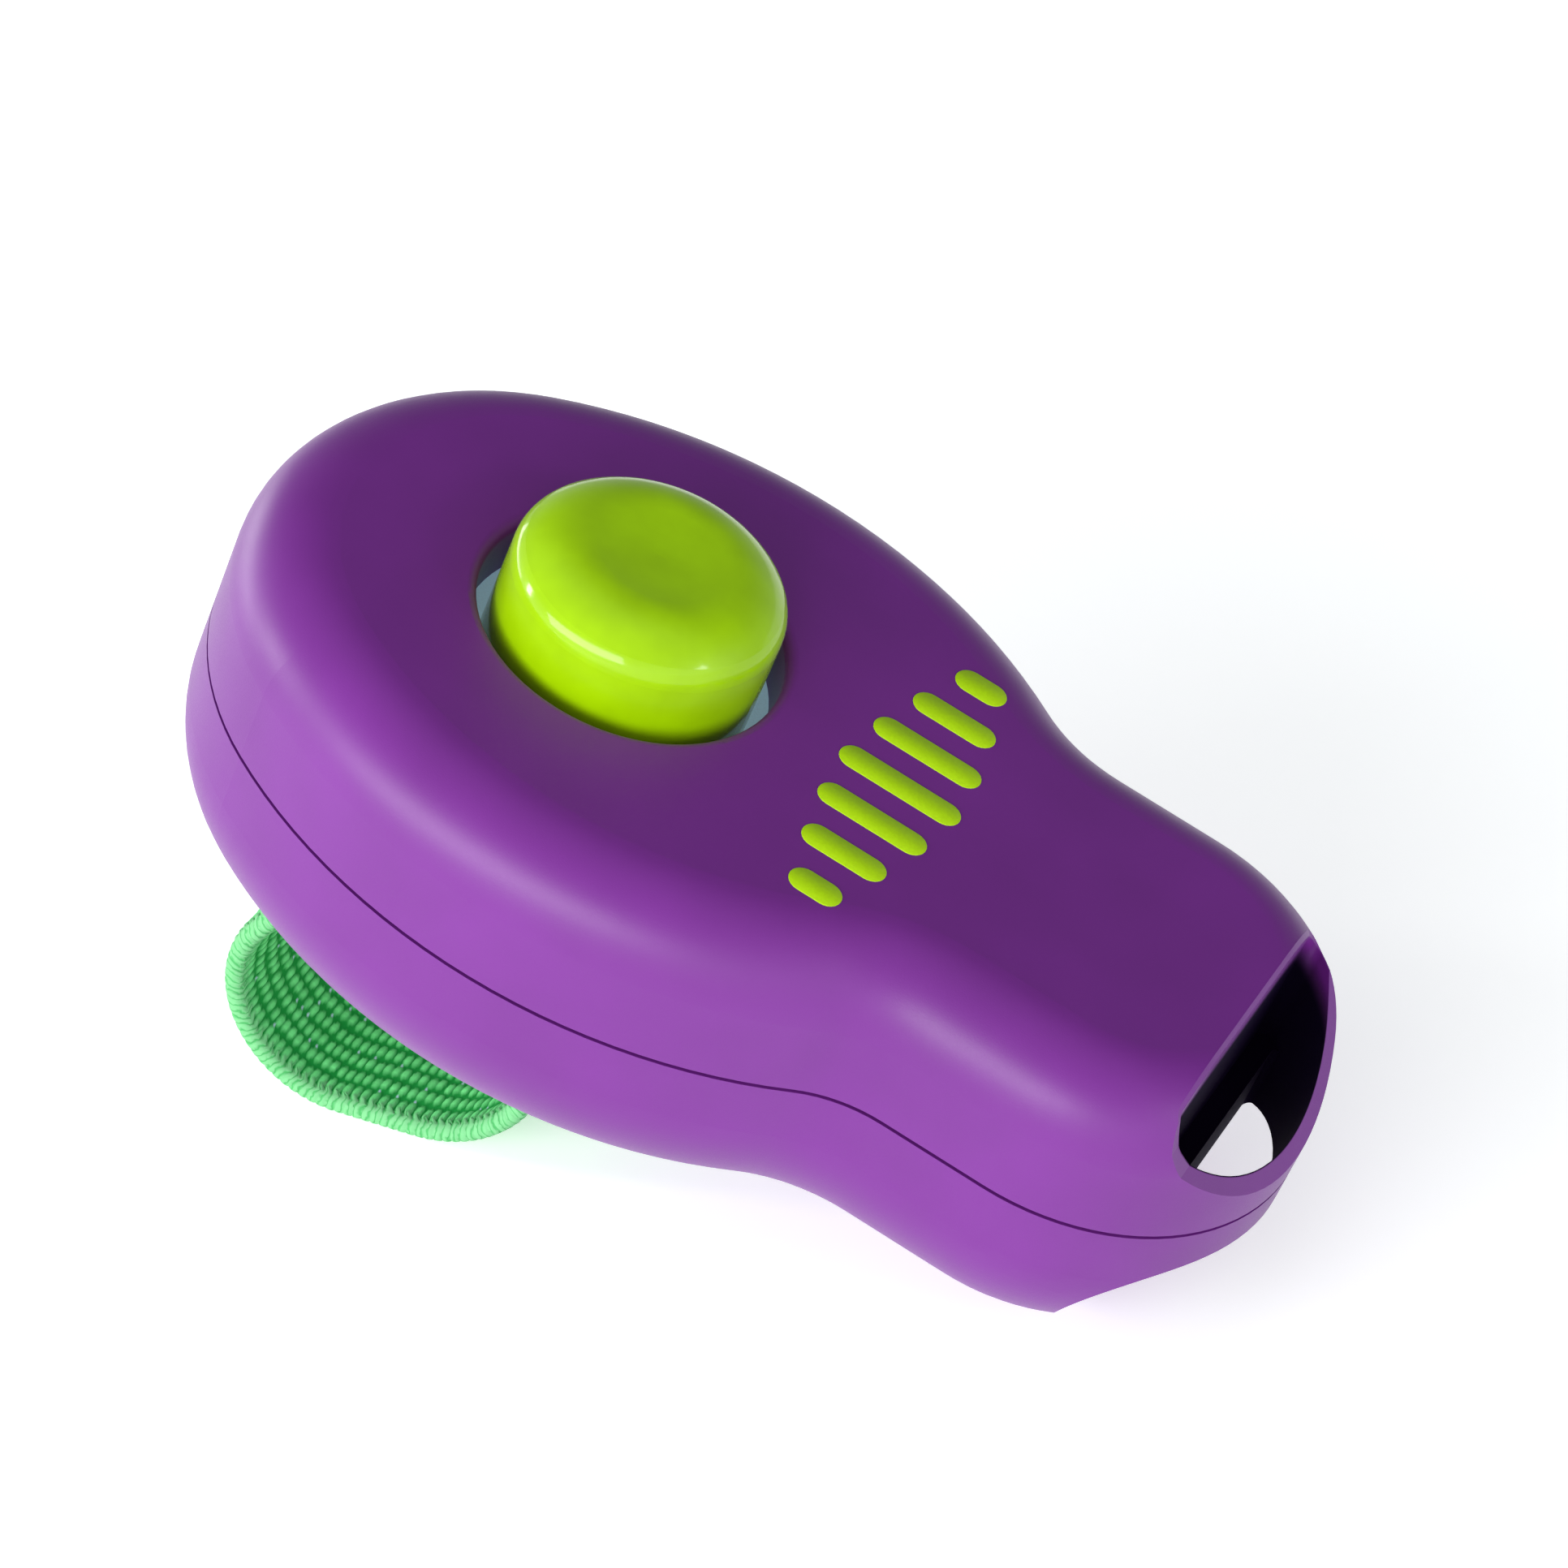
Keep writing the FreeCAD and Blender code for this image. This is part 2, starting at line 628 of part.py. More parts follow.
def make_button_cap():
    """Hollow thumb cap whose rounded shoulder runs smoothly into a shallow dish."""
    body = new_body("button_cap")
    skirt = value("Sizes.body_height - Sizes.collar_depth - Sizes.slide_gap")
    crown = value("Sizes.body_height + Sizes.button_rise")
    radius = value("Sizes.button_radius")
    crease_round = value("Sizes.button_crease")
    shoulder_round = value("Sizes.button_shoulder")
    reach = value("Sizes.button_crown")
    dish = value("Sizes.button_dish")
    wall = value("Sizes.button_wall")
    # the crease's arc lies inside the shoulder's and touches it this far above the level
    between = shoulder_round - crease_round
    lean = math.acos((radius - crease_round - reach) / between)
    crease_height = crown - shoulder_round + between * math.sin(lean)
    # the centres of the shoulder's and the dish's arcs are this far apart
    spread = (reach ** 2 + dish ** 2) / (2 * dish)
    turn = math.degrees(math.asin(reach / spread))
    dish_centre = crown - shoulder_round + spread - dish
    ceiling = crown - dish - wall

    profile = new_sketch(body, "cap_profile", plane="XZ_Plane")
    outer_wall = line(profile, (radius, skirt), (radius, crease_height))
    crease = arc(profile, (radius - crease_round, crease_height), crease_round, 0, math.degrees(lean))
    shoulder = arc(
        profile, (reach, crown - shoulder_round), shoulder_round, math.degrees(lean), 90 + turn
    )
    crown_dish = arc(profile, (0, dish_centre), spread - shoulder_round, 270, 270 + turn)
    axis_side = line(profile, (0, crown - dish), (0, ceiling))
    inner_top = line(profile, (0, ceiling), (radius - wall, ceiling))
    inner_wall = line(profile, (radius - wall, ceiling), (radius - wall, skirt))
    foot = line(profile, (radius - wall, skirt), (radius, skirt))
    join_tangent(profile, [
        (outer_wall, END, crease, START),
        (crease, END, shoulder, START),
        (shoulder, END, crown_dish, END),
    ])
    for first, first_end, second, second_end in (
        (crown_dish, START, axis_side, START),
        (axis_side, END, inner_top, START),
        (inner_top, END, inner_wall, START),
        (inner_wall, END, foot, START),
        (foot, END, outer_wall, START),
    ):
        profile.addConstraint(Sketcher.Constraint("Coincident", first, first_end, second, second_end))
    for side in (outer_wall, inner_wall, axis_side):
        profile.addConstraint(Sketcher.Constraint("Vertical", side))
    for side in (inner_top, foot):
        profile.addConstraint(Sketcher.Constraint("Horizontal", side))
    profile.addConstraint(Sketcher.Constraint("PointOnObject", axis_side, START, AXIS_SIDE))
    profile.addConstraint(Sketcher.Constraint("PointOnObject", crown_dish, CENTRE, AXIS_SIDE))
    crown_height = "Sizes.body_height + Sizes.button_rise"
    ceiling_height = crown_height + " - Sizes.button_dish - Sizes.button_wall"
    skirt_height = "Sizes.body_height - Sizes.collar_depth - Sizes.slide_gap"
    bind(profile, "DistanceX", (AXIS, START, outer_wall, START), "Sizes.button_radius")
    bind(profile, "DistanceX", (AXIS, START, inner_wall, START), "Sizes.button_radius - Sizes.button_wall")
    bind(profile, "Radius", (crease,), "Sizes.button_crease")
    bind(profile, "Radius", (shoulder,), "Sizes.button_shoulder")
    bind(profile, "DistanceX", (AXIS, START, shoulder, CENTRE), "Sizes.button_crown")
    bind(profile, "DistanceY", (AXIS, START, shoulder, CENTRE), crown_height + " - Sizes.button_shoulder")
    bind(profile, "DistanceY", (AXIS, START, crown_dish, START), crown_height + " - Sizes.button_dish")
    bind(profile, "DistanceY", (AXIS, START, inner_top, START), ceiling_height)
    bind(profile, "DistanceY", (AXIS, START, foot, START), skirt_height)
    revolve(body, profile, "cap_turning")
    return body


def make_button_plunger():
    """Plunger inside the cap: core, retaining flange and the presser on the leaf."""
    body = new_body("button_plunger")
    flange_top = "Sizes.body_height - Sizes.collar_depth - Sizes.slide_gap"
    cap_ceiling = "Sizes.body_height + Sizes.button_rise - Sizes.button_dish - Sizes.button_wall"
    core_top = cap_ceiling + " - Sizes.core_headroom"
    core_radius = "Sizes.button_radius - Sizes.button_wall - Sizes.core_gap"
    presser_end = "Sizes.leaf_level + Sizes.presser_gap"
    profile = new_sketch(body, "plunger_profile", plane="XZ_Plane")
    polygon(profile, [
        (ZERO, presser_end),
        ("Sizes.presser_radius", presser_end),
        ("Sizes.presser_radius", flange_top + " - Sizes.flange_thick"),
        ("Sizes.flange_radius", flange_top + " - Sizes.flange_thick"),
        ("Sizes.flange_radius", flange_top),
        (core_radius, flange_top),
        (core_radius, core_top),
        (ZERO, core_top),
    ])
    revolve(body, profile, "plunger_turning")
    end = value(presser_end)
    fillet(body, "presser_nose", "Sizes.presser_radius - Sizes.presser_land", lambda box: level(box, end))
    return body


# ------------------------------------------------------------------ clicker leaf

def make_leaf_tongue():
    """Free, springing length of the steel leaf with its pressed dimple."""
    body = new_body("leaf_tongue")
    strip = new_sketch(body, "tongue_outline", offset="Sizes.leaf_level - Sizes.leaf_thick")
    half = "Sizes.leaf_width / 2"
    rectangle(strip, "Sizes.leaf_hinge - Sizes.leaf_reach", "Sizes.leaf_hinge", "-" + half, half)
    pad(body, strip, "tongue_strip", "Sizes.leaf_thick")
    rear = value("Sizes.leaf_hinge - Sizes.leaf_reach")
    fillet(
        body,
        "tongue_corners",
        "Sizes.leaf_width / 4",
        lambda box: box.ZLength > box.XLength + box.YLength + 0.01 and abs(box.XMin - rear) < 0.01,
    )

    hollow = new_sketch(body, "dimple_hollow_circle", offset="Sizes.leaf_level - Sizes.leaf_thick")
    circle(hollow, "Sizes.dimple_centre", ZERO, "Sizes.dimple_radius - Sizes.leaf_thick")
    dome = new_sketch(body, "dimple_circle", offset="Sizes.leaf_level - Sizes.leaf_thick / 2")
    circle(dome, "Sizes.dimple_centre", ZERO, "Sizes.dimple_radius")
    pad(body, dome, "dimple", "Sizes.dimple_rise + Sizes.leaf_thick / 2")
    crest = value("Sizes.leaf_level + Sizes.dimple_rise")
    fillet(body, "dimple_round", "Sizes.dimple_fillet", lambda box: level(box, crest))
    pocket(body, hollow, "dimple_hollow", "Sizes.dimple_rise", upward=True)
    return body


def make_leaf_root():
    """Clamped end of the same steel leaf, with its two screw holes."""
    body = new_body("leaf_root")
    plate = new_sketch(body, "root_outline", offset="Sizes.leaf_level - Sizes.leaf_thick")
    half = "Sizes.leaf_width / 2"
    rectangle(plate, "Sizes.leaf_hinge", "Sizes.leaf_hinge + Sizes.leaf_root_length", "-" + half, half)
    pad(body, plate, "root_plate", "Sizes.leaf_thick")
    holes = new_sketch(body, "root_hole_rings", offset="Sizes.leaf_level")
    leaf_screw_circles(holes, "Sizes.leaf_screw_radius + Sizes.leaf_hole_gap")
    pocket(body, holes, "root_holes")
    return body


def make_leaf_clamp():
    """Clamp bar that holds the leaf's root down on the pedestal."""
    body = new_body("leaf_clamp")
    bar = new_sketch(body, "clamp_outline", offset="Sizes.leaf_level")
    half = "Sizes.leaf_width / 2"
    rear = "Sizes.leaf_hinge + Sizes.clamp_setback"
    rectangle(bar, rear, "Sizes.leaf_hinge + Sizes.leaf_root_length", "-" + half, half)
    pad(body, bar, "clamp_bar", "Sizes.clamp_thick")
    top = value("Sizes.leaf_level + Sizes.clamp_thick")
    fillet(body, "clamp_round", "Sizes.clamp_thick / 3", lambda box: level(box, top))
    holes = new_sketch(body, "clamp_hole_rings", offset="Sizes.leaf_level + Sizes.clamp_thick")
    leaf_screw_circles(holes, "Sizes.leaf_screw_radius + Sizes.leaf_hole_gap")
    pocket(body, holes, "clamp_holes")
    return body


# ------------------------------------------------------------------------ screws

# cross recess in a screw's head: arm length and arm width as shares of the head's
# radius, and depth as a share of its thickness
RECESS_LONG = 1.3
RECESS_NARROW = 0.3
RECESS_DEPTH = 0.55


def make_screw(name, x, y, seat, length, head_radius, head_thick, radius, downward):
    """Pan-head screw with a cross recess; the seat is the height under its head."""
    head = DOC.addObject("Part::Cylinder", name + "_head")
    head.setExpression("Radius", head_radius)
    head.setExpression("Height", head_thick)
    shank = DOC.addObject("Part::Cylinder", name + "_shank")
    shank.setExpression("Radius", radius)
    shank.setExpression("Height", length)
    head_base = seat if downward else "%s - %s" % (seat, head_thick)
    shank_base = "%s - %s" % (seat, length) if downward else seat
    outer_face = "%s + %s" % (seat, head_thick) if downward else head_base
    for piece, base in ((head, head_base), (shank, shank_base)):
        piece.setExpression("Placement.Base.x", x)
        piece.setExpression("Placement.Base.y", y)
        piece.setExpression("Placement.Base.z", base)
    blank = DOC.addObject("Part::Fuse", name + "_blank")
    blank.Base = head
    blank.Tool = shank
    slots = []
    arms = ((RECESS_LONG, RECESS_NARROW), (RECESS_NARROW, RECESS_LONG))
    for index, (length_ratio, width_ratio) in enumerate(arms, start=1):
        slot = DOC.addObject("Part::Box", "%s_recess_%d" % (name, index))
        slot.setExpression("Length", "%g * %s" % (length_ratio, head_radius))
        slot.setExpression("Width", "%g * %s" % (width_ratio, head_radius))
        slot.setExpression("Height", "%g * %s" % (2 * RECESS_DEPTH, head_thick))
        slot.setExpression("Placement.Base.x", "%s - %g * %s" % (x, length_ratio / 2, head_radius))
        slot.setExpression("Placement.Base.y", "%s - %g * %s" % (y, width_ratio / 2, head_radius))
        slot.setExpression("Placement.Base.z", "%s - %g * %s" % (outer_face, RECESS_DEPTH, head_thick))
        slots.append(slot)
    cross = DOC.addObject("Part::Fuse", name + "_cross")
    cross.Base = slots[0]
    cross.Tool = slots[1]
    screw = DOC.addObject("Part::Cut", name)
    screw.Base = blank
    screw.Tool = cross
    return screw


def make_case_screws():
    """Three screws that close the case from below."""
    screws = []
    for index, (x, y) in enumerate(SCREW_PLACES, start=1):
        screws.append(make_screw(
            "case_screw_%d" % index, x, y, "Sizes.screw_seat", "Sizes.screw_length",
            "Sizes.screw_head_radius", "Sizes.screw_head_thick", "Sizes.screw_radius", False,
        ))
    return group("case_screws", screws)


def make_leaf_screws():
    """Two short screws through the clamp and the leaf's root."""
    screws = []
    for index, (x, y) in enumerate(LEAF_SCREW_PLACES, start=1):
        screws.append(make_screw(
            "leaf_screw_%d" % index, x, y,
            "(Sizes.leaf_level + Sizes.clamp_thick)", "Sizes.leaf_screw_length",
            "(2 * Sizes.leaf_screw_radius)", "Sizes.clamp_thick", "Sizes.leaf_screw_radius", True,
        ))
    return group("leaf_screws", screws)


def group(label, pieces):
    """Separate solids that share one node."""
    compound = DOC.addObject("Part::Compound", label)
    compound.Label = label
    compound.Links = pieces
    return compound


# ------------------------------------------------------------------- finger band

def tip_corner():
    """Lowest point of the tip: where the scoop meets the rounded underside."""
    round_x = value("Sizes.body_length - Sizes.bottom_fillet")
    round_z = value("Sizes.bottom_fillet")
    scoop = vector(value("Sizes.scoop_x"), value("Sizes.scoop_z"))
    round_centre = vector(round_x, round_z)
    across = scoop - round_centre
    gap = across.Length
    along = (gap ** 2 + round_z ** 2 - value("Sizes.scoop_radius") ** 2) / (2 * gap)
    aside = math.sqrt(round_z ** 2 - along ** 2)
    unit = across / gap
    return round_centre + unit * along + vector(unit.z, -unit.x) * aside


def table_normal():
    """Downward normal of the table, in the flat-lying frame."""
    pitch = math.radians(value("Sizes.rest_pitch"))
    return vector(math.sin(pitch), -math.cos(pitch))


def band_rolls():
    """Centre (x, z) and outer radius of the four round corners of the band.

    The lower two touch the table that the tip's edge also rests on.
    """
    down = table_normal()
    reach = down.dot(tip_corner())
    turn = value("Sizes.band_turn_radius")
    turn_z = value("Sizes.wall + Sizes.band_lift + Sizes.band_thick - Sizes.band_turn_radius")
    rolls = [(value("Sizes.band_inner_rear"), turn_z, turn)]
    for side, sign in (("rear", 1), ("front", -1)):
        radius = value("Sizes.band_%s_radius" % side)
        x = value("Sizes.band_%s_x" % side) + sign * radius
        z = (reach - radius - down.x * x) / down.z
        rolls.append((x, z, radius))
    rolls.append((value("Sizes.band_front_x") - turn, turn_z, turn))
    return rolls


def belt_headings(rolls):
    """Direction, in radians, of each straight run of a belt round the rolls."""
    headings = []
    for index, (x, z, radius) in enumerate(rolls):
        next_x, next_z, next_radius = rolls[(index + 1) % len(rolls)]
        distance = math.hypot(next_x - x, next_z - z)
        lean = math.asin((radius - next_radius) / distance)
        headings.append(math.atan2(next_z - z, next_x - x) + lean)
    return headings


def belt_arcs(rolls, inset):
    """Arcs of the belt, moved inwards: centre, radius and both end angles in degrees."""
    headings = belt_headings(rolls)
    arcs = []
    for index, (x, z, radius) in enumerate(rolls):
        arriving = math.degrees(headings[index - 1]) - 90
        leaving = math.degrees(headings[index]) - 90
        while leaving < arriving:
            leaving += 360
        while leaving > arriving + 360:
            leaving -= 360
        arcs.append(((x, z), radius - inset, arriving, leaving))
    return arcs


def band_loop(sketch, inset):
    """One closed line of the band's section: four arcs joined by straight runs."""
    sides = []
    for centre, radius, arriving, leaving in belt_arcs(band_rolls(), inset):
        sides.append(arc(sketch, centre, radius, arriving, leaving))
    for index, side in enumerate(sides):
        following = sides[(index + 1) % len(sides)]
        start = sketch.getPoint(side, END)
        end = sketch.getPoint(following, START)
        run = line(sketch, (start.x, start.y), (end.x, end.y))
        join_tangent(sketch, [(side, END, run, START), (run, END, following, START)])


def rear_run_x(height, inset):
    """X of the band's leaning rear run at a height; the inset is 0 on its outside."""
    rolls = band_rolls()
    x, z, radius = rolls[0]
    heading = belt_headings(rolls)[0]
    touch_x = x + (radius - inset) * math.sin(heading)
    touch_z = z - (radius - inset) * math.cos(heading)
    return touch_x + (height - touch_z) / math.tan(heading)


def slot_span(side):
    """Expressions for the low and high x of a band slot through the floor."""
    if side == "front":
        low = "Sizes.band_front_x - Sizes.band_thick - Sizes.slot_gap"
        high = "Sizes.band_front_x + Sizes.slot_gap"
    else:
        low = "%.2f - Sizes.slot_gap" % rear_run_x(0.0, 0.0)
        high = "%.2f + Sizes.slot_gap" % rear_run_x(value("Sizes.wall"), value("Sizes.band_thick"))
    return low, high


def make_finger_band():
    """Elastic loop through the two slots, with its lapped ends inside the case."""
    body = new_body("finger_band")
    section = new_sketch(body, "band_section", plane="XZ_Plane")
    band_loop(section, 0.0)
    band_loop(section, value("Sizes.band_thick"))
    pad(body, section, "band", "Sizes.band_width", symmetric=True)
    lap = new_sketch(body, "lap_section", plane="XZ_Plane")
    rectangle(
        lap,
        "Sizes.band_lap_start",
        "Sizes.band_lap_end",
        "Sizes.wall + Sizes.band_lift + Sizes.band_thick",
        "Sizes.wall + Sizes.band_lift + 2 * Sizes.band_thick",
    )
    pad(body, lap, "lap", "Sizes.band_width", symmetric=True)
    return body


STITCHES_IN_ROW = 7


def make_band_stitches():
    """Two rows of sewing thread across the band's lapped ends."""
    stitches = []
    rows = (
        "Sizes.band_lap_start + Sizes.stitch_inset",
        "Sizes.band_lap_end - Sizes.stitch_inset - Sizes.stitch_width",
    )
    middle = (STITCHES_IN_ROW - 1) / 2
    spacing = "Sizes.band_width / %d" % (STITCHES_IN_ROW + 1)
    for row, rear in enumerate(rows, start=1):
        for step in range(STITCHES_IN_ROW):
            stitch = DOC.addObject("Part::Box", "stitch_%d_%d" % (row, step + 1))
            stitch.setExpression("Length", "Sizes.stitch_width")
            stitch.setExpression("Width", "Sizes.stitch_length")
            stitch.setExpression("Height", "Sizes.stitch_height")
            side = "(%g) * %s - Sizes.stitch_length / 2" % (step - middle, spacing)
            stitch.setExpression("Placement.Base.x", rear)
            stitch.setExpression("Placement.Base.y", side)
            stitch.setExpression(
                "Placement.Base.z", "Sizes.wall + Sizes.band_lift + 2 * Sizes.band_thick"
            )
            stitches.append(stitch)
    return group("band_stitches", stitches)


# ---------------------------------------------------------- assembly and writing

def resting_placement(shapes):
    """Tip the flat-lying assembly nose-down and stand it on Z = 0, centred on X and Y."""
    turn = FreeCAD.Rotation(FreeCAD.Vector(0, 1, 0), value("Sizes.rest_pitch"))
    tipped = FreeCAD.Placement(FreeCAD.Vector(), turn)
    whole = Part.makeCompound([shape.transformed(tipped.toMatrix(), True) for shape in shapes])
    box = whole.optimalBoundingBox(False)
    shift = FreeCAD.Vector(-(box.XMin + box.XMax) / 2, -(box.YMin + box.YMax) / 2, -box.ZMin)
    return FreeCAD.Placement(shift, turn)


def check_document():
    """Stop if any object failed to compute."""
    for item in DOC.Objects:
        if "Invalid" in item.State or "Error" in item.State:
            raise RuntimeError("%s did not compute: %s" % (item.Name, item.State))


def write_part(part):
    """Check a sub-part's shape and write it under its own name."""
    if part.Shape.isNull() or not part.Shape.isValid():
        raise RuntimeError("%s has no valid shape" % part.Label)
    part.Shape.exportStep("parts/%s.step" % part.Label)
    box = part.Shape.BoundBox
    print("%-16s %d solid(s) %9.2f mm3  x %7.2f %7.2f  y %7.2f %7.2f  z %7.2f %7.2f" % (
        part.Label, len(part.Shape.Solids), part.Shape.Volume,
        box.XMin, box.XMax, box.YMin, box.YMax, box.ZMin, box.ZMax,
    ))


def main():
    """Build every sub-part, place the assembly and write the STEP files."""
    turned = [make_button_cap(), make_button_plunger()]
    parts = [
        make_upper_shell(),
        make_lower_shell(),
        make_leaf_tongue(),
        make_leaf_root(),
        make_leaf_clamp(),
        make_leaf_screws(),
        make_case_screws(),
        make_finger_band(),
        make_band_stitches(),
    ]
    DOC.recompute()
    check_document()
    button_axis = FreeCAD.Vector(value("Sizes.button_centre"), 0, 0)
    for body in turned:
        body.Placement = FreeCAD.Placement(button_axis, FreeCAD.Rotation())
    DOC.recompute()
    everything = turned + parts
    rest = resting_placement([part.Shape for part in everything])
    for part in everything:
        part.Placement = rest.multiply(part.Placement)
    DOC.recompute()
    check_document()
    print("resting shift (mm):", tuple(round(coordinate, 4) for coordinate in rest.Base))
    os.makedirs("parts", exist_ok=True)
    for part in everything:
        write_part(part)


main()
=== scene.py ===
import json
import math

import bpy
import numpy as np
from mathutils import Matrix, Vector


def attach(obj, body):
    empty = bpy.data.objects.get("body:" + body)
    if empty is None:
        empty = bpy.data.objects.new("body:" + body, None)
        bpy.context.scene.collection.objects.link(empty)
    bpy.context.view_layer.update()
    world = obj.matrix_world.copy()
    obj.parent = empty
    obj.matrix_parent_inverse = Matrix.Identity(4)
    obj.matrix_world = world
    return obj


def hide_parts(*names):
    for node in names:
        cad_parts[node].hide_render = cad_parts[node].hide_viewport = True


# Looks of the clicker trainer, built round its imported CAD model.
#
# Sizes are in millimetres in the lying frame: X runs from the broad rear (0) to
# the tip, Y across, Z up from the flat underside.  lying_point() turns them into
# metres in the row frame, where the clicker stands nose-down on the table.

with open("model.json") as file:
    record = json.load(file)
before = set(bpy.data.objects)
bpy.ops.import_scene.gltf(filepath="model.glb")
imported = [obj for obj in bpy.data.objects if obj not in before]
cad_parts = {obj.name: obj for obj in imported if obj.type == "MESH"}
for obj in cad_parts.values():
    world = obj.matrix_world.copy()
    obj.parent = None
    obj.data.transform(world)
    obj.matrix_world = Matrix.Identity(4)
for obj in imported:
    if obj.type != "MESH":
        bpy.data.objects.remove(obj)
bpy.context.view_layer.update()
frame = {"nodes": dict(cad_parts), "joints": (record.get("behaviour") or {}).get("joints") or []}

MM = 0.001
JOINTS = {joint["name"]: joint for joint in frame["joints"]}

# ------------------------------------------------------------------ lying frame

LEAF_HINGE = (34.0, 8.65)
UP = -Vector(JOINTS["button_press"]["axis"])
FORWARD = Vector((UP.z, 0.0, -UP.x))
ACROSS = Vector((0.0, 1.0, 0.0))
HINGE_POINT = Vector(JOINTS["leaf_flex"]["pos_m"])
ORIGIN = HINGE_POINT - (FORWARD * LEAF_HINGE[0] + UP * LEAF_HINGE[1]) * MM
PITCH = math.atan2(UP.x, UP.z)


def lying_point(x, y, z):
    """Point of the lying frame, in millimetres, as metres in the row frame."""
    return ORIGIN + (FORWARD * x + ACROSS * y + UP * z) * MM


def lying_points(places):
    """The same for an array with one place (x, y, z) in each row."""
    axes = np.array([FORWARD, ACROSS, UP])
    return np.array(ORIGIN) + places @ axes * MM


# --------------------------------------------------------------- material tools

def new_material(name, colour, roughness, **sockets):
    """Material with one Principled shader; returns it with its node tree and shader."""
    material = bpy.data.materials.new(name)
    material.use_nodes = True
    tree = material.node_tree
    shader = tree.nodes["Principled BSDF"]
    shader.inputs["Base Color"].default_value = (*colour, 1.0)
    shader.inputs["Roughness"].default_value = roughness
    for socket, setting in sockets.items():
        shader.inputs[socket.replace("_", " ")].default_value = setting
    return material, tree, shader


def add_node(tree, kind, settings=None, inputs=None):
    """New node; each input is a plain setting or another node's output."""
    node = tree.nodes.new(kind)
    for name, setting in (settings or {}).items():
        setattr(node, name, setting)
    for name, source in (inputs or {}).items():
        if isinstance(source, bpy.types.NodeSocket):
            tree.links.new(source, node.inputs[name])
        else:
            node.inputs[name].default_value = source
    return node


def calculate(tree, operation, first, second=0.0):
    """Output of a Math node."""
    node = add_node(tree, "ShaderNodeMath", {"operation": operation}, {0: first, 1: second})
    return node.outputs[0]


def lying_coordinates(tree):
    """Object coordinates turned into millimetres of the lying frame."""
    coordinates = add_node(tree, "ShaderNodeTexCoord")
    offset = Vector((ORIGIN.dot(FORWARD), ORIGIN.dot(ACROSS), ORIGIN.dot(UP))) / -MM
    mapping = add_node(
        tree,
        "ShaderNodeMapping",
        inputs={
            "Vector": coordinates.outputs["Object"],
            "Location": offset,
            "Rotation": (0.0, -PITCH, 0.0),
            "Scale": (1 / MM,) * 3,
        },
    )
    return mapping.outputs["Vector"]


def noise(tree, vector, scale, detail=2.0, stretch=(1.0, 1.0, 1.0)):
    """Noise from 0 to 1 with scale cells to the millimetre."""
    if stretch != (1.0, 1.0, 1.0):
        stretched = add_node(
            tree, "ShaderNodeVectorMath", {"operation": "MULTIPLY"}, {0: vector, 1: stretch}
        )
        vector = stretched.outputs[0]
    node = add_node(
        tree, "ShaderNodeTexNoise", inputs={"Vector": vector, "Scale": scale, "Detail": detail}
    )
    return node.outputs["Fac"]


def remap(tree, source, low, high, to_low=0.0, to_high=1.0, smooth=False):
    """Source from low to high as a number from to_low to to_high, held at its ends."""
    node = add_node(
        tree,
        "ShaderNodeMapRange",
        {"interpolation_type": "SMOOTHSTEP" if smooth else "LINEAR"},
        {"Value": source, "From Min": low, "From Max": high, "To Min": to_low, "To Max": to_high},
    )
    return node.outputs["Result"]


def blend_colours(tree, share, first, second):
    """Mix of two colours; each is a plain colour or a node's output."""
    node = add_node(tree, "ShaderNodeMix", {"data_type": "RGBA"}, {"Factor": share})
    for socket, colour in ((node.inputs[6], first), (node.inputs[7], second)):
        if isinstance(colour, bpy.types.NodeSocket):
            tree.links.new(colour, socket)
        else:
            socket.default_value = (*colour, 1.0)
    return node.outputs[2]


def add_bump(tree, shader, height, strength, distance):
    """Surface relief; the distance is in millimetres."""
    bump = add_node(
        tree,
        "ShaderNodeBump",
        inputs={"Height": height, "Strength": strength, "Distance": distance * MM},
    )
    tree.links.new(bump.outputs["Normal"], shader.inputs["Normal"])


# -------------------------------------------------------------------- materials

PURPLE = (0.146, 0.0168, 0.216)
# near-black painted shade for the inside of the lanyard tunnel
TUNNEL_PAINTED_SHADE = (0.009, 0.004, 0.020)
LIME = (0.300, 0.530, 0.0005)
LIME_INK = (0.400, 0.660, 0.001)
PLUNGER_GREY = (0.42, 0.66, 0.78)
WEAVE_DEEP = (0.006, 0.230, 0.035)
WEAVE_BRIGHT = (0.170, 0.700, 0.240)
RIM_SHADE = (0.050, 0.360, 0.090)
RIM_MINT = (0.165, 0.490, 0.205)
# pale blue-grey painted glint on rubber strands in the weave's channels
RUBBER_PAINTED_GLINT = (0.50, 0.66, 0.78)

TIP_CENTRE_X = 51.7
TIP_RADIUS = 12.3
TOP_HEIGHT = 20.2
TOP_FILLET = 4.6
TUNNEL_RADIUS = 11.57
TUNNEL_REAR_X = 58.35
OUTLET_REAR_Z = 6.4
# how far each edge of the tunnel's painted shade takes to fade, and where it starts under the mouth
WALL_FADE = 0.05
REAR_FADE = 0.1
MOUTH_FADE_FROM = 0.6
MOUTH_FADE_TO = 2.4
OUTLET_FADE = 0.3


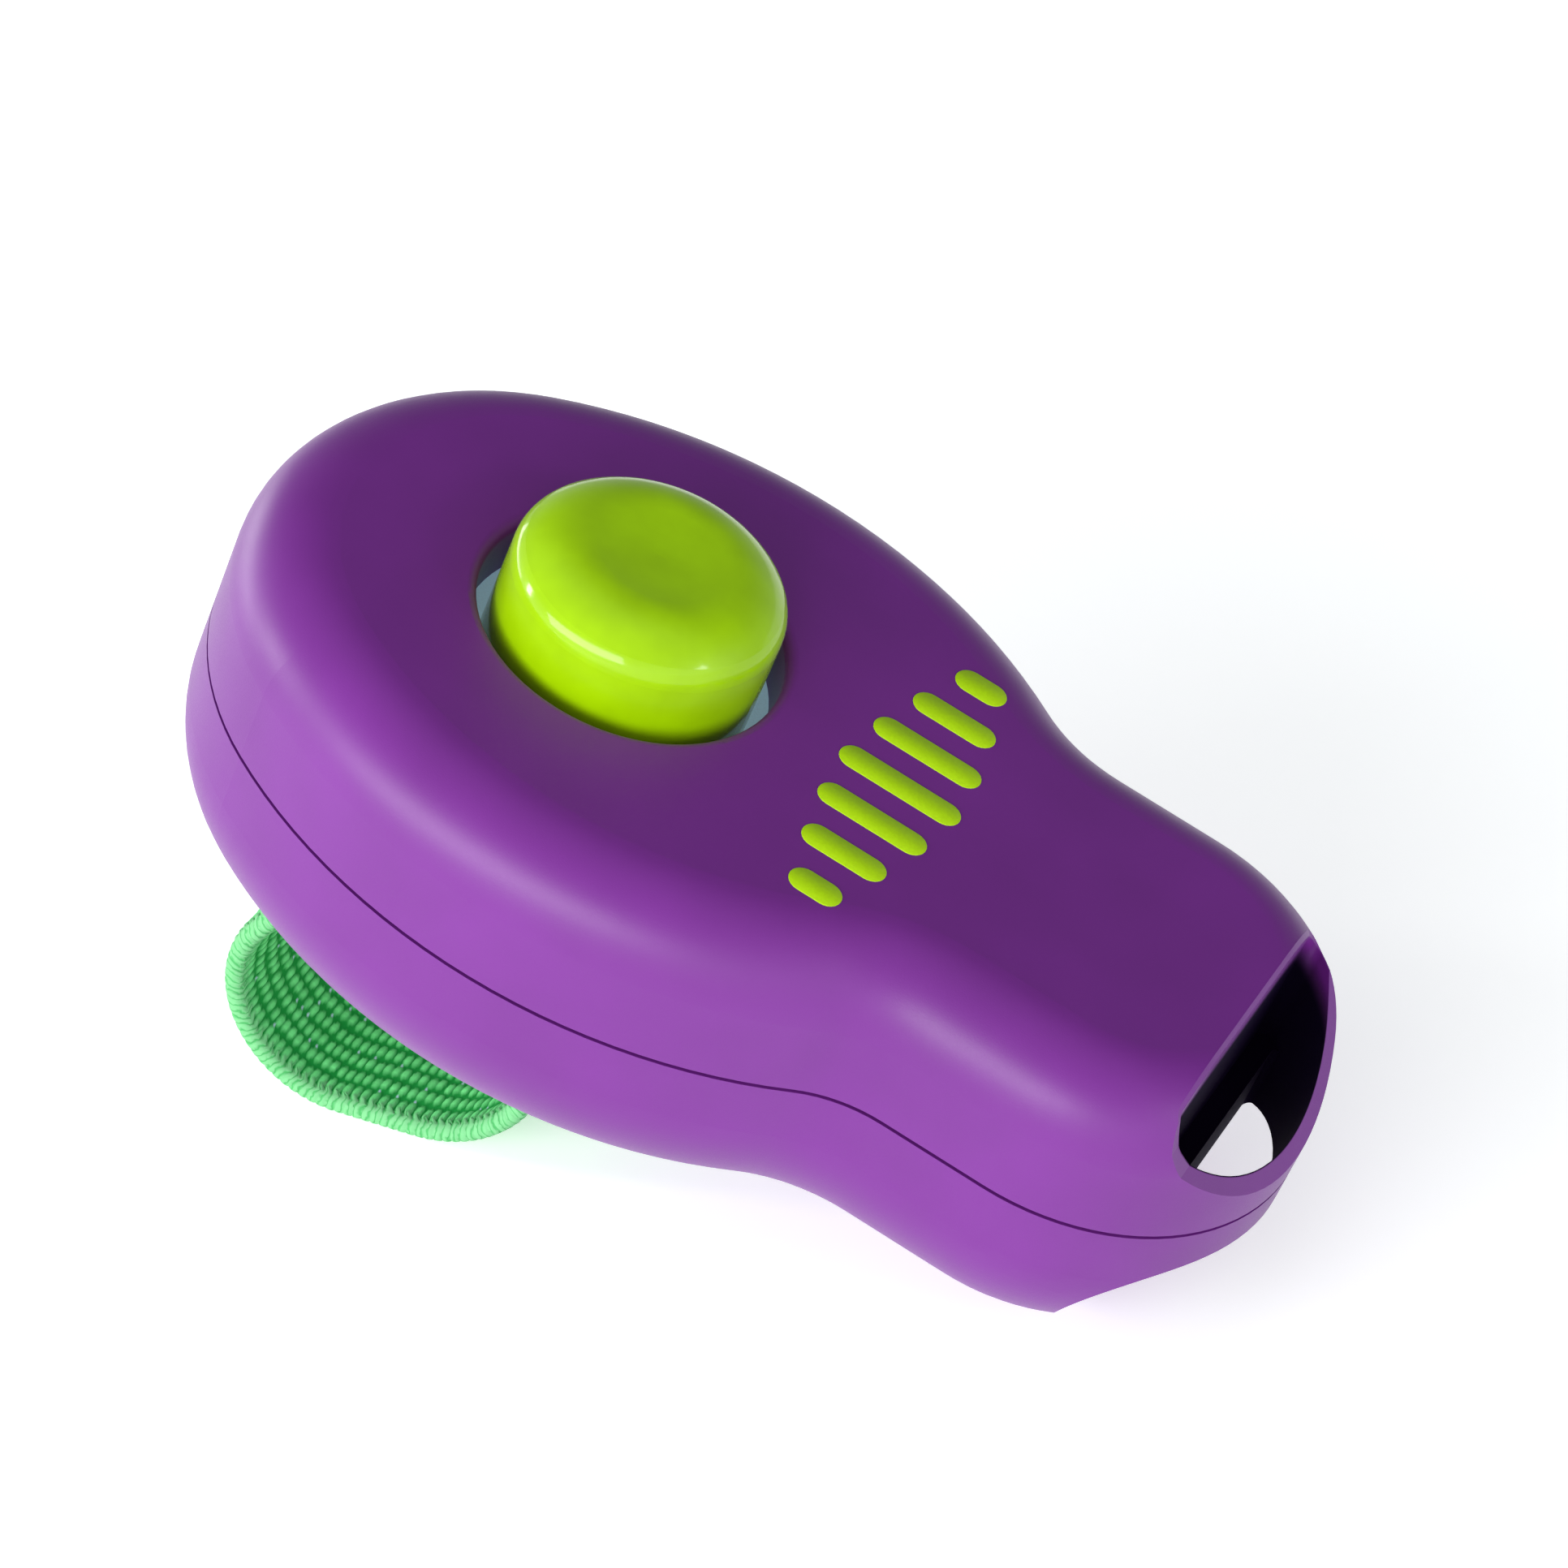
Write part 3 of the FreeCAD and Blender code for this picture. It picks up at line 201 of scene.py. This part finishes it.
def tunnel_shade_mask(tree, position):
    """1 where shade is painted on the walls of the lanyard tunnel, fading out at its mouth and its
    outlet.
    """
    split = add_node(tree, "ShaderNodeSeparateXYZ", inputs={0: position})
    x, y, z = split.outputs
    along = calculate(tree, "SUBTRACT", x, TIP_CENTRE_X)
    squares = calculate(
        tree, "ADD", calculate(tree, "POWER", along, 2.0), calculate(tree, "POWER", y, 2.0)
    )
    radius = calculate(tree, "SQRT", squares)
    # how deep a place is below the case's rounded top, which falls away near its edge
    past_flat = calculate(tree, "SUBTRACT", radius, TIP_RADIUS - TOP_FILLET)
    rolled = calculate(tree, "MAXIMUM", past_flat)
    rolled_square = calculate(tree, "POWER", rolled, 2.0)
    top = calculate(tree, "SQRT", calculate(tree, "SUBTRACT", TOP_FILLET ** 2, rolled_square))
    depth = calculate(tree, "SUBTRACT", calculate(tree, "ADD", top, TOP_HEIGHT - TOP_FILLET), z)
    shares = (
        remap(tree, radius, TUNNEL_RADIUS, TUNNEL_RADIUS + WALL_FADE, 1.0, 0.0),
        remap(tree, x, TUNNEL_REAR_X - REAR_FADE, TUNNEL_REAR_X),
        remap(tree, depth, MOUTH_FADE_FROM, MOUTH_FADE_TO, smooth=True),
        remap(tree, z, OUTLET_REAR_Z - OUTLET_FADE, OUTLET_REAR_Z + OUTLET_FADE),
    )
    mask = shares[0]
    for share in shares[1:]:
        mask = calculate(tree, "MULTIPLY", mask, share)
    return mask


def scaled(colour, factor):
    """A colour with every channel multiplied by the same factor."""
    return tuple(channel * factor for channel in colour)


def purple_case():
    """Satin moulded plastic with a fine grain and near-black painted shade inside the tunnel."""
    material, tree, shader = new_material("purple_satin", PURPLE, 0.4, Specular_IOR_Level=0.4)
    position = lying_coordinates(tree)
    tunnel = tunnel_shade_mask(tree, position)
    clouds = noise(tree, position, 0.12)
    grain = noise(tree, position, 14.0, detail=3.0)
    shade = remap(tree, clouds, 0.3, 0.7)
    plastic = blend_colours(tree, shade, scaled(PURPLE, 0.94), scaled(PURPLE, 1.06))
    # painted shade: the tunnel walls turn near-black
    colour = blend_colours(tree, tunnel, plastic, TUNNEL_PAINTED_SHADE)
    tree.links.new(colour, shader.inputs["Base Color"])
    satin = remap(tree, grain, 0.3, 0.7, 0.35, 0.43)
    tree.links.new(remap(tree, tunnel, 0.0, 1.0, satin, 0.95), shader.inputs["Roughness"])
    # the tunnel's painted shade is made metallic, so its faint reflection takes its own near-black
    # colour
    tree.links.new(tunnel, shader.inputs["Metallic"])
    add_bump(tree, shader, grain, 0.25, 0.02)
    return material


def lime_button():
    """Glossy moulded plastic whose reflections waver slightly."""
    material, tree, shader = new_material(
        "lime_gloss", LIME, 0.16, Specular_IOR_Level=0.3, Coat_Weight=0.15, Coat_Roughness=0.05
    )
    position = lying_coordinates(tree)
    ripple = noise(tree, position, 0.45)
    scuffs = noise(tree, position, 5.0, detail=4.0)
    shade = remap(tree, ripple, 0.3, 0.7)
    tree.links.new(
        blend_colours(tree, shade, scaled(LIME, 0.95), scaled(LIME, 1.05)),
        shader.inputs["Base Color"],
    )
    tree.links.new(remap(tree, scuffs, 0.35, 0.75, 0.10, 0.16), shader.inputs["Roughness"])
    add_bump(tree, shader, ripple, 0.12, 0.15)
    return material


def lime_ink():
    """Printed ink with slightly uneven cover."""
    material, tree, shader = new_material("lime_ink", LIME_INK, 0.45, Specular_IOR_Level=0.25)
    position = lying_coordinates(tree)
    cover = noise(tree, position, 6.0, detail=3.0)
    tree.links.new(
        blend_colours(tree, remap(tree, cover, 0.35, 0.65), scaled(LIME_INK, 0.93), LIME_INK),
        shader.inputs["Base Color"],
    )
    add_bump(tree, shader, cover, 0.2, 0.01)
    return material


# painted light: a glow of their own given to the pale plunger plastic and the loose weave, lifting
# them out of their shade
PLUNGER_PAINTED_LIGHT = 0.25
WEAVE_PAINTED_LIGHT = 0.22
# share of the weave's painted glow that the rim goes without
RIM_DIMMING = 0.7


def grey_plunger():
    """Pale blue-grey moulded plastic with a dull grain, with a glow of painted light."""
    material, tree, shader = new_material(
        "plunger_grey",
        PLUNGER_GREY,
        0.5,
        # painted light: the plunger glows in its own colour
        Emission_Color=(*PLUNGER_GREY, 1.0),
        Emission_Strength=PLUNGER_PAINTED_LIGHT,
    )
    position = lying_coordinates(tree)
    grain = noise(tree, position, 9.0, detail=3.0)
    tree.links.new(
        blend_colours(tree, remap(tree, grain, 0.3, 0.7), scaled(PLUNGER_GREY, 0.88), PLUNGER_GREY),
        shader.inputs["Base Color"],
    )
    add_bump(tree, shader, grain, 0.2, 0.02)
    return material


def metal(name, colour, tint, roughness, stretch):
    """Metal with streaks drawn out along one axis and patches of another tint."""
    material, tree, shader = new_material(name, colour, roughness, Metallic=1.0)
    position = lying_coordinates(tree)
    streaks = noise(tree, position, 12.0, detail=3.0, stretch=stretch)
    patches = noise(tree, position, 0.6)
    tree.links.new(
        blend_colours(tree, remap(tree, patches, 0.35, 0.65), colour, tint),
        shader.inputs["Base Color"],
    )
    spread = remap(tree, streaks, 0.3, 0.7, roughness * 0.8, roughness * 1.25)
    tree.links.new(spread, shader.inputs["Roughness"])
    add_bump(tree, shader, streaks, 0.15, 0.01)
    return material


def attribute(tree, name):
    """Value of a mesh attribute."""
    return add_node(tree, "ShaderNodeAttribute", {"attribute_name": name}).outputs["Fac"]


def rim_threads(tree, position):
    """1 on the threads that wrap the rim and 0 in the slits between them."""
    wander = remap(tree, noise(tree, position, 1.3), 0.3, 0.7, -0.35, 0.35)
    slant = calculate(tree, "MULTIPLY", attribute(tree, "turn"), RIM_SLANT / RIM_THREAD_PITCH)
    along = calculate(tree, "MULTIPLY", attribute(tree, "along"), 1 / RIM_THREAD_PITCH)
    phase = calculate(tree, "ADD", calculate(tree, "ADD", along, slant), wander)
    from_slit = calculate(tree, "PINGPONG", phase, 0.5)
    width = remap(tree, noise(tree, position, 2.6), 0.35, 0.65, 0.10, 0.34)
    return calculate(tree, "MINIMUM", calculate(tree, "DIVIDE", from_slit, width), 1.0)


def woven_elastic():
    """Elastic webbing coloured from deep to bright green by the height of its relief, with mint
    threads on the rim; it glows with painted light, less on the rim, and carries painted glints in
    its channels.
    """
    material, tree, shader = new_material(
        "woven_elastic",
        WEAVE_BRIGHT,
        0.7,
        Specular_IOR_Level=0.25,
        # painted light: the weave glows in its own colour
        Emission_Strength=WEAVE_PAINTED_LIGHT,
    )
    position = lying_coordinates(tree)
    fibres = noise(tree, position, 16.0, detail=3.0)
    uneven = remap(tree, noise(tree, position, 1.6), 0.3, 0.7, 0.7, 1.0)
    height = calculate(tree, "MULTIPLY", remap(tree, attribute(tree, "weave"), 0.05, 0.85), uneven)
    face = blend_colours(tree, height, WEAVE_DEEP, WEAVE_BRIGHT)
    threads = rim_threads(tree, position)
    edge = blend_colours(tree, threads, RIM_SHADE, RIM_MINT)
    rim = attribute(tree, "rim")
    glint = attribute(tree, "glint")
    colour = blend_colours(tree, rim, face, edge)
    # painted glint: pale blue-grey specks on the rubber in the channels
    colour = blend_colours(tree, glint, colour, RUBBER_PAINTED_GLINT)
    tree.links.new(colour, shader.inputs["Base Color"])
    dimmed = calculate(tree, "MULTIPLY", rim, RIM_DIMMING)
    # painted light: the glow is taken off most of the rim
    tree.links.new(
        blend_colours(tree, dimmed, colour, (0.0, 0.0, 0.0)), shader.inputs["Emission Color"]
    )
    tree.links.new(remap(tree, glint, 0.0, 1.0, 0.72, 0.3), shader.inputs["Roughness"])
    strands = calculate(tree, "MULTIPLY", calculate(tree, "MULTIPLY", threads, rim), 2.0)
    add_bump(tree, shader, calculate(tree, "ADD", strands, fibres), 0.5, 0.05)
    return material


def sewing_thread():
    """Twisted thread with a soft sheen."""
    material, tree, shader = new_material("sewing_thread", RIM_MINT, 0.6, Sheen_Weight=0.3)
    position = lying_coordinates(tree)
    twist = noise(tree, position, 5.0, stretch=(3.0, 1.0, 3.0))
    tree.links.new(
        blend_colours(tree, remap(tree, twist, 0.35, 0.65), scaled(RIM_MINT, 0.6), RIM_MINT),
        shader.inputs["Base Color"],
    )
    add_bump(tree, shader, twist, 0.4, 0.05)
    return material


FLOOR_GLOW = 0.40


def floor_paper():
    """Pale matt paper with a slight glow of its own."""
    material, tree, shader = new_material(
        "floor_paper",
        (0.93, 0.93, 0.93),
        0.9,
        Specular_IOR_Level=0.1,
        Emission_Color=(1.0, 1.0, 1.0, 1.0),
        Emission_Strength=FLOOR_GLOW,
    )
    position = lying_coordinates(tree)
    tooth = noise(tree, position, 0.8, detail=3.0)
    tree.links.new(
        blend_colours(tree, tooth, (0.92, 0.92, 0.92), (0.94, 0.94, 0.94)),
        shader.inputs["Base Color"],
    )
    return material


def dress_cad_nodes():
    """Give each CAD node its finish."""
    purple = purple_case()
    finishes = {
        "upper_shell": purple,
        "lower_shell": purple,
        "button_cap": lime_button(),
        "button_plunger": grey_plunger(),
    }
    spring = metal("spring_steel", (0.36, 0.39, 0.45), (0.50, 0.48, 0.44), 0.28, (1.0, 0.08, 1.0))
    plated = metal("plated_steel", (0.66, 0.66, 0.64), (0.60, 0.63, 0.68), 0.35, (1.0, 1.0, 0.3))
    for node in ("leaf_tongue", "leaf_root"):
        finishes[node] = spring
    for node in ("leaf_clamp", "leaf_screws", "case_screws"):
        finishes[node] = plated
    for node, finish in finishes.items():
        mesh = frame["nodes"][node].data
        if not mesh.materials:
            mesh.materials.append(finish)
        for index in range(len(mesh.materials)):
            mesh.materials[index] = finish


# ------------------------------------------------------------------ mesh helper

def new_piece(name, vertices, faces, material, body):
    """Smooth mesh piece from points of the lying frame; it rides on a CAD body."""
    mesh = bpy.data.meshes.new(name)
    mesh.from_pydata(lying_points(vertices).tolist(), [], faces)
    mesh.materials.append(material)
    mesh.polygons.foreach_set("use_smooth", [True] * len(mesh.polygons))
    piece = bpy.data.objects.new(name, mesh)
    bpy.context.scene.collection.objects.link(piece)
    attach(piece, body)
    return piece


def tube_faces(rings, around):
    """Quads between neighbouring rings, and one cap at each end."""
    faces = []
    for ring in range(rings - 1):
        for step in range(around):
            following = (step + 1) % around
            low, high = ring * around, (ring + 1) * around
            faces.append((low + step, low + following, high + following, high + step))
    faces.append(tuple(range(around - 1, -1, -1)))
    faces.append(tuple(range((rings - 1) * around, rings * around)))
    return faces


# ------------------------------------------------------------------ finger band

BAND_WIDTH = 16.0
BAND_THICK = 1.3
BAND_LAP_LOW = (24.5, 2.55)
BAND_LAP_HIGH = (16.5, 3.88)
# centre x, centre z and centreline radius of each bend, in the order of the path
BAND_BENDS = (
    (14.2, 1.6, 0.95),
    (15.7, -8.316, 6.05),
    (19.4, -4.919, 7.95),
    (26.4, 1.6, 0.95),
    (25.2, 2.88, 1.0),
)
RIB_PITCH = 1.25
RIBS = 12
KNOT_PITCH = 0.55
KNOT_RISE = 0.15
KNOT_HALF_WIDTH = 0.40
KNOT_HALF_LENGTH = 0.46
RIM_RISE = 0.07
RIM_SLANT = 0.45
RIM_SLIT = 0.30
RIM_THREAD_PITCH = 0.42
TOOTH_REACH = 0.6
TOOTH_SOFTNESS = 0.15
GLINT_CHANCE = 0.12
# where the mesh is sampled within one rib or one knot, as shares of its pitch
CELL_STEPS = (-0.5, -0.34, -0.12, 0.12, 0.34)
BEND_STEPS = 60
RIM_STEPS = 17


def band_centreline():
    """Points of the band's path, from its lower end round the loop to its lapped end."""
    stops = [(*BAND_LAP_LOW, 0.0), *BAND_BENDS, (*BAND_LAP_HIGH, 0.0)]
    headings = []
    for (x, z, radius), (next_x, next_z, next_radius) in zip(stops, stops[1:]):
        span = math.hypot(next_x - x, next_z - z)
        lean = math.asin((radius - next_radius) / span)
        headings.append(math.atan2(next_z - z, next_x - x) + lean)
    points = [BAND_LAP_LOW]
    for (x, z, radius), arriving, leaving in zip(BAND_BENDS, headings, headings[1:]):
        turn = (leaving - arriving) % math.tau
        for share in np.linspace(0.0, 1.0, BEND_STEPS):
            heading = arriving + turn * share
            points.append((x + radius * math.sin(heading), z - radius * math.cos(heading)))
    points.append(BAND_LAP_HIGH)
    return np.array(points)


def follow(path, places):
    """Points and outward directions of a path at given lengths along it."""
    steps = np.diff(path, axis=0)
    lengths = np.concatenate([[0.0], np.cumsum(np.hypot(*steps.T))])
    ahead = np.gradient(path, lengths, axis=0)
    points = np.stack([np.interp(places, lengths, path[:, axis]) for axis in (0, 1)], axis=-1)
    ahead = np.stack([np.interp(places, lengths, ahead[:, axis]) for axis in (0, 1)], axis=-1)
    ahead /= np.linalg.norm(ahead, axis=-1, keepdims=True)
    outward = np.stack([ahead[..., 1], -ahead[..., 0]], axis=-1)
    return points, outward


def path_length(path):
    """Length of a path, in millimetres."""
    return float(np.hypot(*np.diff(path, axis=0).T).sum())


def band_section():
    """Section of the band: across, out, both parts of its normal, rim share, rim turn."""
    half = RIB_PITCH * RIBS / 2
    ribs = np.arange(RIBS)[:, None] - (RIBS - 1) / 2
    face = ((ribs + np.array(CELL_STEPS)) * RIB_PITCH).ravel()
    face = np.append(face[1:], half)
    flat = BAND_THICK / 2 - KNOT_RISE
    turns = np.linspace(0.0, math.pi, RIM_STEPS)[1:-1]
    rim_reach = BAND_WIDTH / 2 - RIM_RISE - half
    rows = []
    for across in face:
        rows.append((across, flat, 0.0, 1.0, 0.0, 0.0))
    for turn in turns:
        rows.append((
            half + rim_reach * math.sin(turn), flat * math.cos(turn),
            math.sin(turn), math.cos(turn), 1.0, turn / math.pi - 0.5,
        ))
    for across in face[::-1]:
        rows.append((across, -flat, 0.0, -1.0, 0.0, 0.0))
    for turn in turns:
        rows.append((
            -half - rim_reach * math.sin(turn), -flat * math.cos(turn),
            -math.sin(turn), -math.cos(turn), 1.0, turn / math.pi - 0.5,
        ))
    return np.array(rows)


def dome(aside, ahead):
    """Height of a rounded knot; aside and ahead are shares of its half sizes."""
    fall = np.abs(aside) ** 2.6 + np.abs(ahead) ** 2.2
    return np.sqrt(np.clip(1.0 - fall, 0.0, 1.0))


def weave_relief(places, section, chance):
    """Share of the full rise at each ring and section point, where the rim shows, and where a
    painted glint goes on the rubber.
    """
    across, rim = section[:, 0], section[:, 4]
    inner = section[:, 3] < 0
    rib = np.clip(np.floor(across / RIB_PITCH + RIBS / 2).astype(int), 0, RIBS - 1)
    rib_offset = across / RIB_PITCH + RIBS / 2 - rib - 0.5
    knot = np.floor(places / KNOT_PITCH).astype(int)
    knot_offset = places / KNOT_PITCH - knot - 0.5
    knots = knot.max() + 1
    size = chance.uniform(0.80, 1.0, (2, knots, RIBS))
    shift = chance.uniform(-0.10, 0.10, (2, knots, RIBS))
    side = inner.astype(int)[None, :]
    cell = (side, knot[:, None], rib[None, :])
    aside = (rib_offset[None, :] - shift[cell] * 0.5) / KNOT_HALF_WIDTH
    ahead = (knot_offset[:, None] + shift[cell]) / KNOT_HALF_LENGTH
    knots_high = dome(aside, ahead) * size[cell]
    from_slit = 0.5 - np.abs(knot_offset)
    thread = np.clip(from_slit / RIM_SLIT, 0.0, 1.0) ** 0.5
    turned_over = rim_share(across, rim, knot_offset)
    relief = np.where(turned_over > 0.5, thread[:, None], knots_high)
    channel = np.abs(np.abs(rib_offset) - 0.5) < 0.02
    lucky = chance.random((2, knots, RIBS)) < GLINT_CHANCE
    glint = channel[None, :] & lucky[cell] & (np.abs(knot_offset[:, None] + 0.12) < 0.05)
    return relief, turned_over, (glint & (turned_over == 0)).astype(float)


def rim_share(across, rim, knot_offset):
    """Where the rim's threads show: all over the edge, and as teeth on the outermost rib."""
    reach = RIB_PITCH * RIBS / 2 - np.abs(across)
    tooth = TOOTH_REACH * (0.5 + knot_offset)
    teeth = np.clip((tooth[:, None] - reach[None, :]) / TOOTH_SOFTNESS + 0.5, 0.0, 1.0)
    return np.where(rim[None, :] > 0, 1.0, np.where(reach[None, :] < TOOTH_REACH, teeth, 0.0))


def make_finger_band():
    """Woven elastic strip: one flat cut, bent into the loop with its ends lapped."""
    chance = np.random.default_rng(4)
    path = band_centreline()
    long = path_length(path)
    knots = int(long / KNOT_PITCH)
    places = (np.arange(knots)[:, None] + np.array(CELL_STEPS)[None, :] + 0.5) * KNOT_PITCH
    places = np.append(places.ravel(), knots * KNOT_PITCH)
    section = band_section()
    slanted = places[:, None] - section[None, :, 5] * RIM_SLANT
    slanted = np.clip(slanted, places[0], places[-1])
    centres, outward = follow(path, slanted)
    relief, rim, glint = weave_relief(places, section, chance)
    rise = relief * np.where(section[:, 4] > 0, RIM_RISE, KNOT_RISE)[None, :]
    aside = section[None, :, 0] + section[None, :, 2] * rise
    out = section[None, :, 1] + section[None, :, 3] * rise
    vertices = np.stack(
        [
            centres[..., 0] + outward[..., 0] * out,
            aside,
            centres[..., 1] + outward[..., 1] * out,
        ],
        axis=2,
    ).reshape(-1, 3)
    faces = tube_faces(len(places), len(section))
    band = new_piece("elastic_band", vertices, faces, woven_elastic(), "case")
    layers = {
        "weave": relief,
        "rim": rim,
        "glint": glint,
        "along": slanted,
        "turn": np.broadcast_to(section[None, :, 5], relief.shape),
    }
    for name, layer in layers.items():
        values = band.data.attributes.new(name, "FLOAT", "POINT")
        values.data.foreach_set("value", layer.astype(np.float32).ravel())
    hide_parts("finger_band")
    make_stitches()


STITCH_ROWS_X = (18.1, 22.9)
STITCHES_IN_ROW = 7
STITCH_LENGTH = 1.5
STITCH_RADIUS = 0.2


def make_stitches():
    """Bent stitches of twisted thread across the lap, in two rows."""
    rings, around = 13, 10
    lap_top = BAND_LAP_HIGH[1] + BAND_THICK / 2
    shares = np.linspace(-1.0, 1.0, rings)
    angles = np.linspace(0.0, math.tau, around, endpoint=False)
    thick = STITCH_RADIUS * np.sqrt(np.clip(1.04 - shares ** 4, 0.0, 1.0))
    vertices, faces = [], []
    for row_x in STITCH_ROWS_X:
        for step in range(STITCHES_IN_ROW):
            centre_y = (step - (STITCHES_IN_ROW - 1) / 2) * BAND_WIDTH / (STITCHES_IN_ROW + 1)
            first = len(vertices) * around
            for share, radius in zip(shares, thick):
                bulge = radius * (1 + 0.12 * np.cos(3 * (angles + 4 * share)))
                ring = np.stack(
                    [
                        row_x + bulge * np.cos(angles),
                        np.full(around, centre_y + share * STITCH_LENGTH / 2),
                        lap_top - 0.1 * share ** 2 + bulge * np.sin(angles) * 0.8,
                    ],
                    axis=1,
                )
                vertices.append(ring)
            for face in tube_faces(rings, around):
                faces.append(tuple(first + corner for corner in face[::-1]))
    stitches = new_piece(
        "thread_stitches", np.concatenate(vertices), faces, sewing_thread(), "case"
    )
    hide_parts("band_stitches")
    return stitches


# -------------------------------------------------------------------- top motif

MOTIF_X = 37.0
MOTIF_SPACING = 3.3
MOTIF_LENGTHS = (3.0, 4.9, 6.4, 7.2, 6.4, 4.9, 3.0)
MOTIF_HALF_WIDTH = 0.85
INK_THICK = 0.04
BAR_END_STEPS = 13


def make_top_motif():
    """Plain printed row of round-ended bars across the top."""
    turns = np.linspace(0.0, math.pi, BAR_END_STEPS)
    vertices, faces = [], []
    for index, length in enumerate(MOTIF_LENGTHS):
        y = (index - (len(MOTIF_LENGTHS) - 1) / 2) * MOTIF_SPACING
        reach = length / 2 - MOTIF_HALF_WIDTH
        around = 2 * len(turns)
        first = len(vertices) * around
        for half_width, height in (
            (MOTIF_HALF_WIDTH, -INK_THICK / 2),
            (MOTIF_HALF_WIDTH, INK_THICK / 2),
            (MOTIF_HALF_WIDTH - INK_THICK / 2, INK_THICK),
        ):
            ahead = reach + half_width * np.sin(turns)
            aside = half_width * np.cos(turns)
            front = np.column_stack([MOTIF_X + ahead, y - aside])
            rear = np.column_stack([MOTIF_X - ahead, y + aside])
            outline = np.concatenate([front, rear])
            vertices.append(np.column_stack([outline, np.full(around, TOP_HEIGHT + height)]))
        for face in tube_faces(3, around):
            faces.append(tuple(first + corner for corner in face))
    new_piece("top_motif", np.concatenate(vertices), faces, lime_ink(), "case")


# ------------------------------------------------------------------------ stage

CAMERA_TARGET = Vector((0.24, 3.1, 21.7)) * MM
CAMERA_AZIMUTH = 26.17
CAMERA_ELEVATION = 34.88
CAMERA_DISTANCE = 0.3488
CAMERA_LENS = 152.96
CAMERA_SENSOR = 36.0
CAMERA_CLIP_START = 0.01


def towards(azimuth, elevation):
    """Direction from the object; azimuth 0 is the near side and 90 the tip's side."""
    turn, rise = math.radians(azimuth), math.radians(elevation)
    return Vector((
        math.sin(turn) * math.cos(rise),
        -math.cos(turn) * math.cos(rise),
        math.sin(rise),
    ))


def aim(thing, target):
    """Point a camera or a light at a target."""
    thing.rotation_euler = (target - thing.location).to_track_quat("-Z", "Y").to_euler()


def make_camera():
    """Camera at the viewing angle of the reference view."""
    camera = bpy.data.objects.new("camera", bpy.data.cameras.new("camera"))
    bpy.context.scene.collection.objects.link(camera)
    camera.data.lens = CAMERA_LENS
    camera.data.sensor_width = CAMERA_SENSOR
    camera.data.clip_start = CAMERA_CLIP_START
    camera.location = CAMERA_TARGET + towards(CAMERA_AZIMUTH, CAMERA_ELEVATION) * CAMERA_DISTANCE
    aim(camera, CAMERA_TARGET)
    bpy.context.scene.camera = camera


# name, azimuth, elevation, distance, width, height (metres), radiance
LIGHTS = (
    ("front_strip", -11.0, 21.0, 0.60, 0.75, 0.22, 7.5),
    ("left_glow", -105.0, 6.0, 0.60, 0.40, 0.16, 4.5),
    ("left_window", -72.0, 20.0, 0.60, 0.07, 0.16, 22.0),
    ("right_window", 82.0, 19.0, 0.60, 0.13, 0.08, 9.0),
)


def make_lights():
    """Soft boxes low in front and at both sides."""
    for name, azimuth, elevation, distance, width, height, radiance in LIGHTS:
        data = bpy.data.lights.new(name, "AREA")
        data.shape = "RECTANGLE"
        data.size = width
        data.size_y = height
        data.energy = radiance * math.pi * width * height
        light = bpy.data.objects.new(name, data)
        bpy.context.scene.collection.objects.link(light)
        light.location = towards(azimuth, elevation) * distance
        aim(light, CAMERA_TARGET)


HORIZON_GLOW = 1.7
ZENITH_GLOW = 0.50
ZENITH_FROM = 0.65
BACK_SHARE = 0.30
SKY_TINT = (0.93, 0.98, 1.0, 1.0)


def make_world():
    """Surround that is bright round the horizon in front and dim overhead and behind."""
    world = bpy.data.worlds.new("studio")
    world.use_nodes = True
    tree = world.node_tree
    direction = add_node(tree, "ShaderNodeTexCoord").outputs["Generated"]
    split = add_node(tree, "ShaderNodeSeparateXYZ", inputs={0: direction})
    glow = remap(tree, split.outputs["Z"], 0.0, ZENITH_FROM, HORIZON_GLOW, ZENITH_GLOW, smooth=True)
    front_share = remap(tree, split.outputs["Y"], 0.0, 0.6, 1.0, BACK_SHARE, smooth=True)
    background = tree.nodes["Background"]
    background.inputs["Color"].default_value = SKY_TINT
    tree.links.new(calculate(tree, "MULTIPLY", glow, front_share), background.inputs["Strength"])
    bpy.context.scene.world = world
    bpy.context.scene.view_settings.view_transform = "Standard"


FLOOR_HALF = 1.5


def make_floor():
    """Wide pale sheet under the object."""
    half = FLOOR_HALF
    mesh = bpy.data.meshes.new("floor")
    corners = [(-half, -half, 0.0), (half, -half, 0.0), (half, half, 0.0), (-half, half, 0.0)]
    mesh.from_pydata(corners, [], [(0, 1, 2, 3)])
    mesh.materials.append(floor_paper())
    floor = bpy.data.objects.new("floor", mesh)
    bpy.context.scene.collection.objects.link(floor)


# --------------------------------------------------------------------- assembly

make_camera()
make_lights()
make_world()
make_floor()
dress_cad_nodes()
make_finger_band()
make_top_motif()
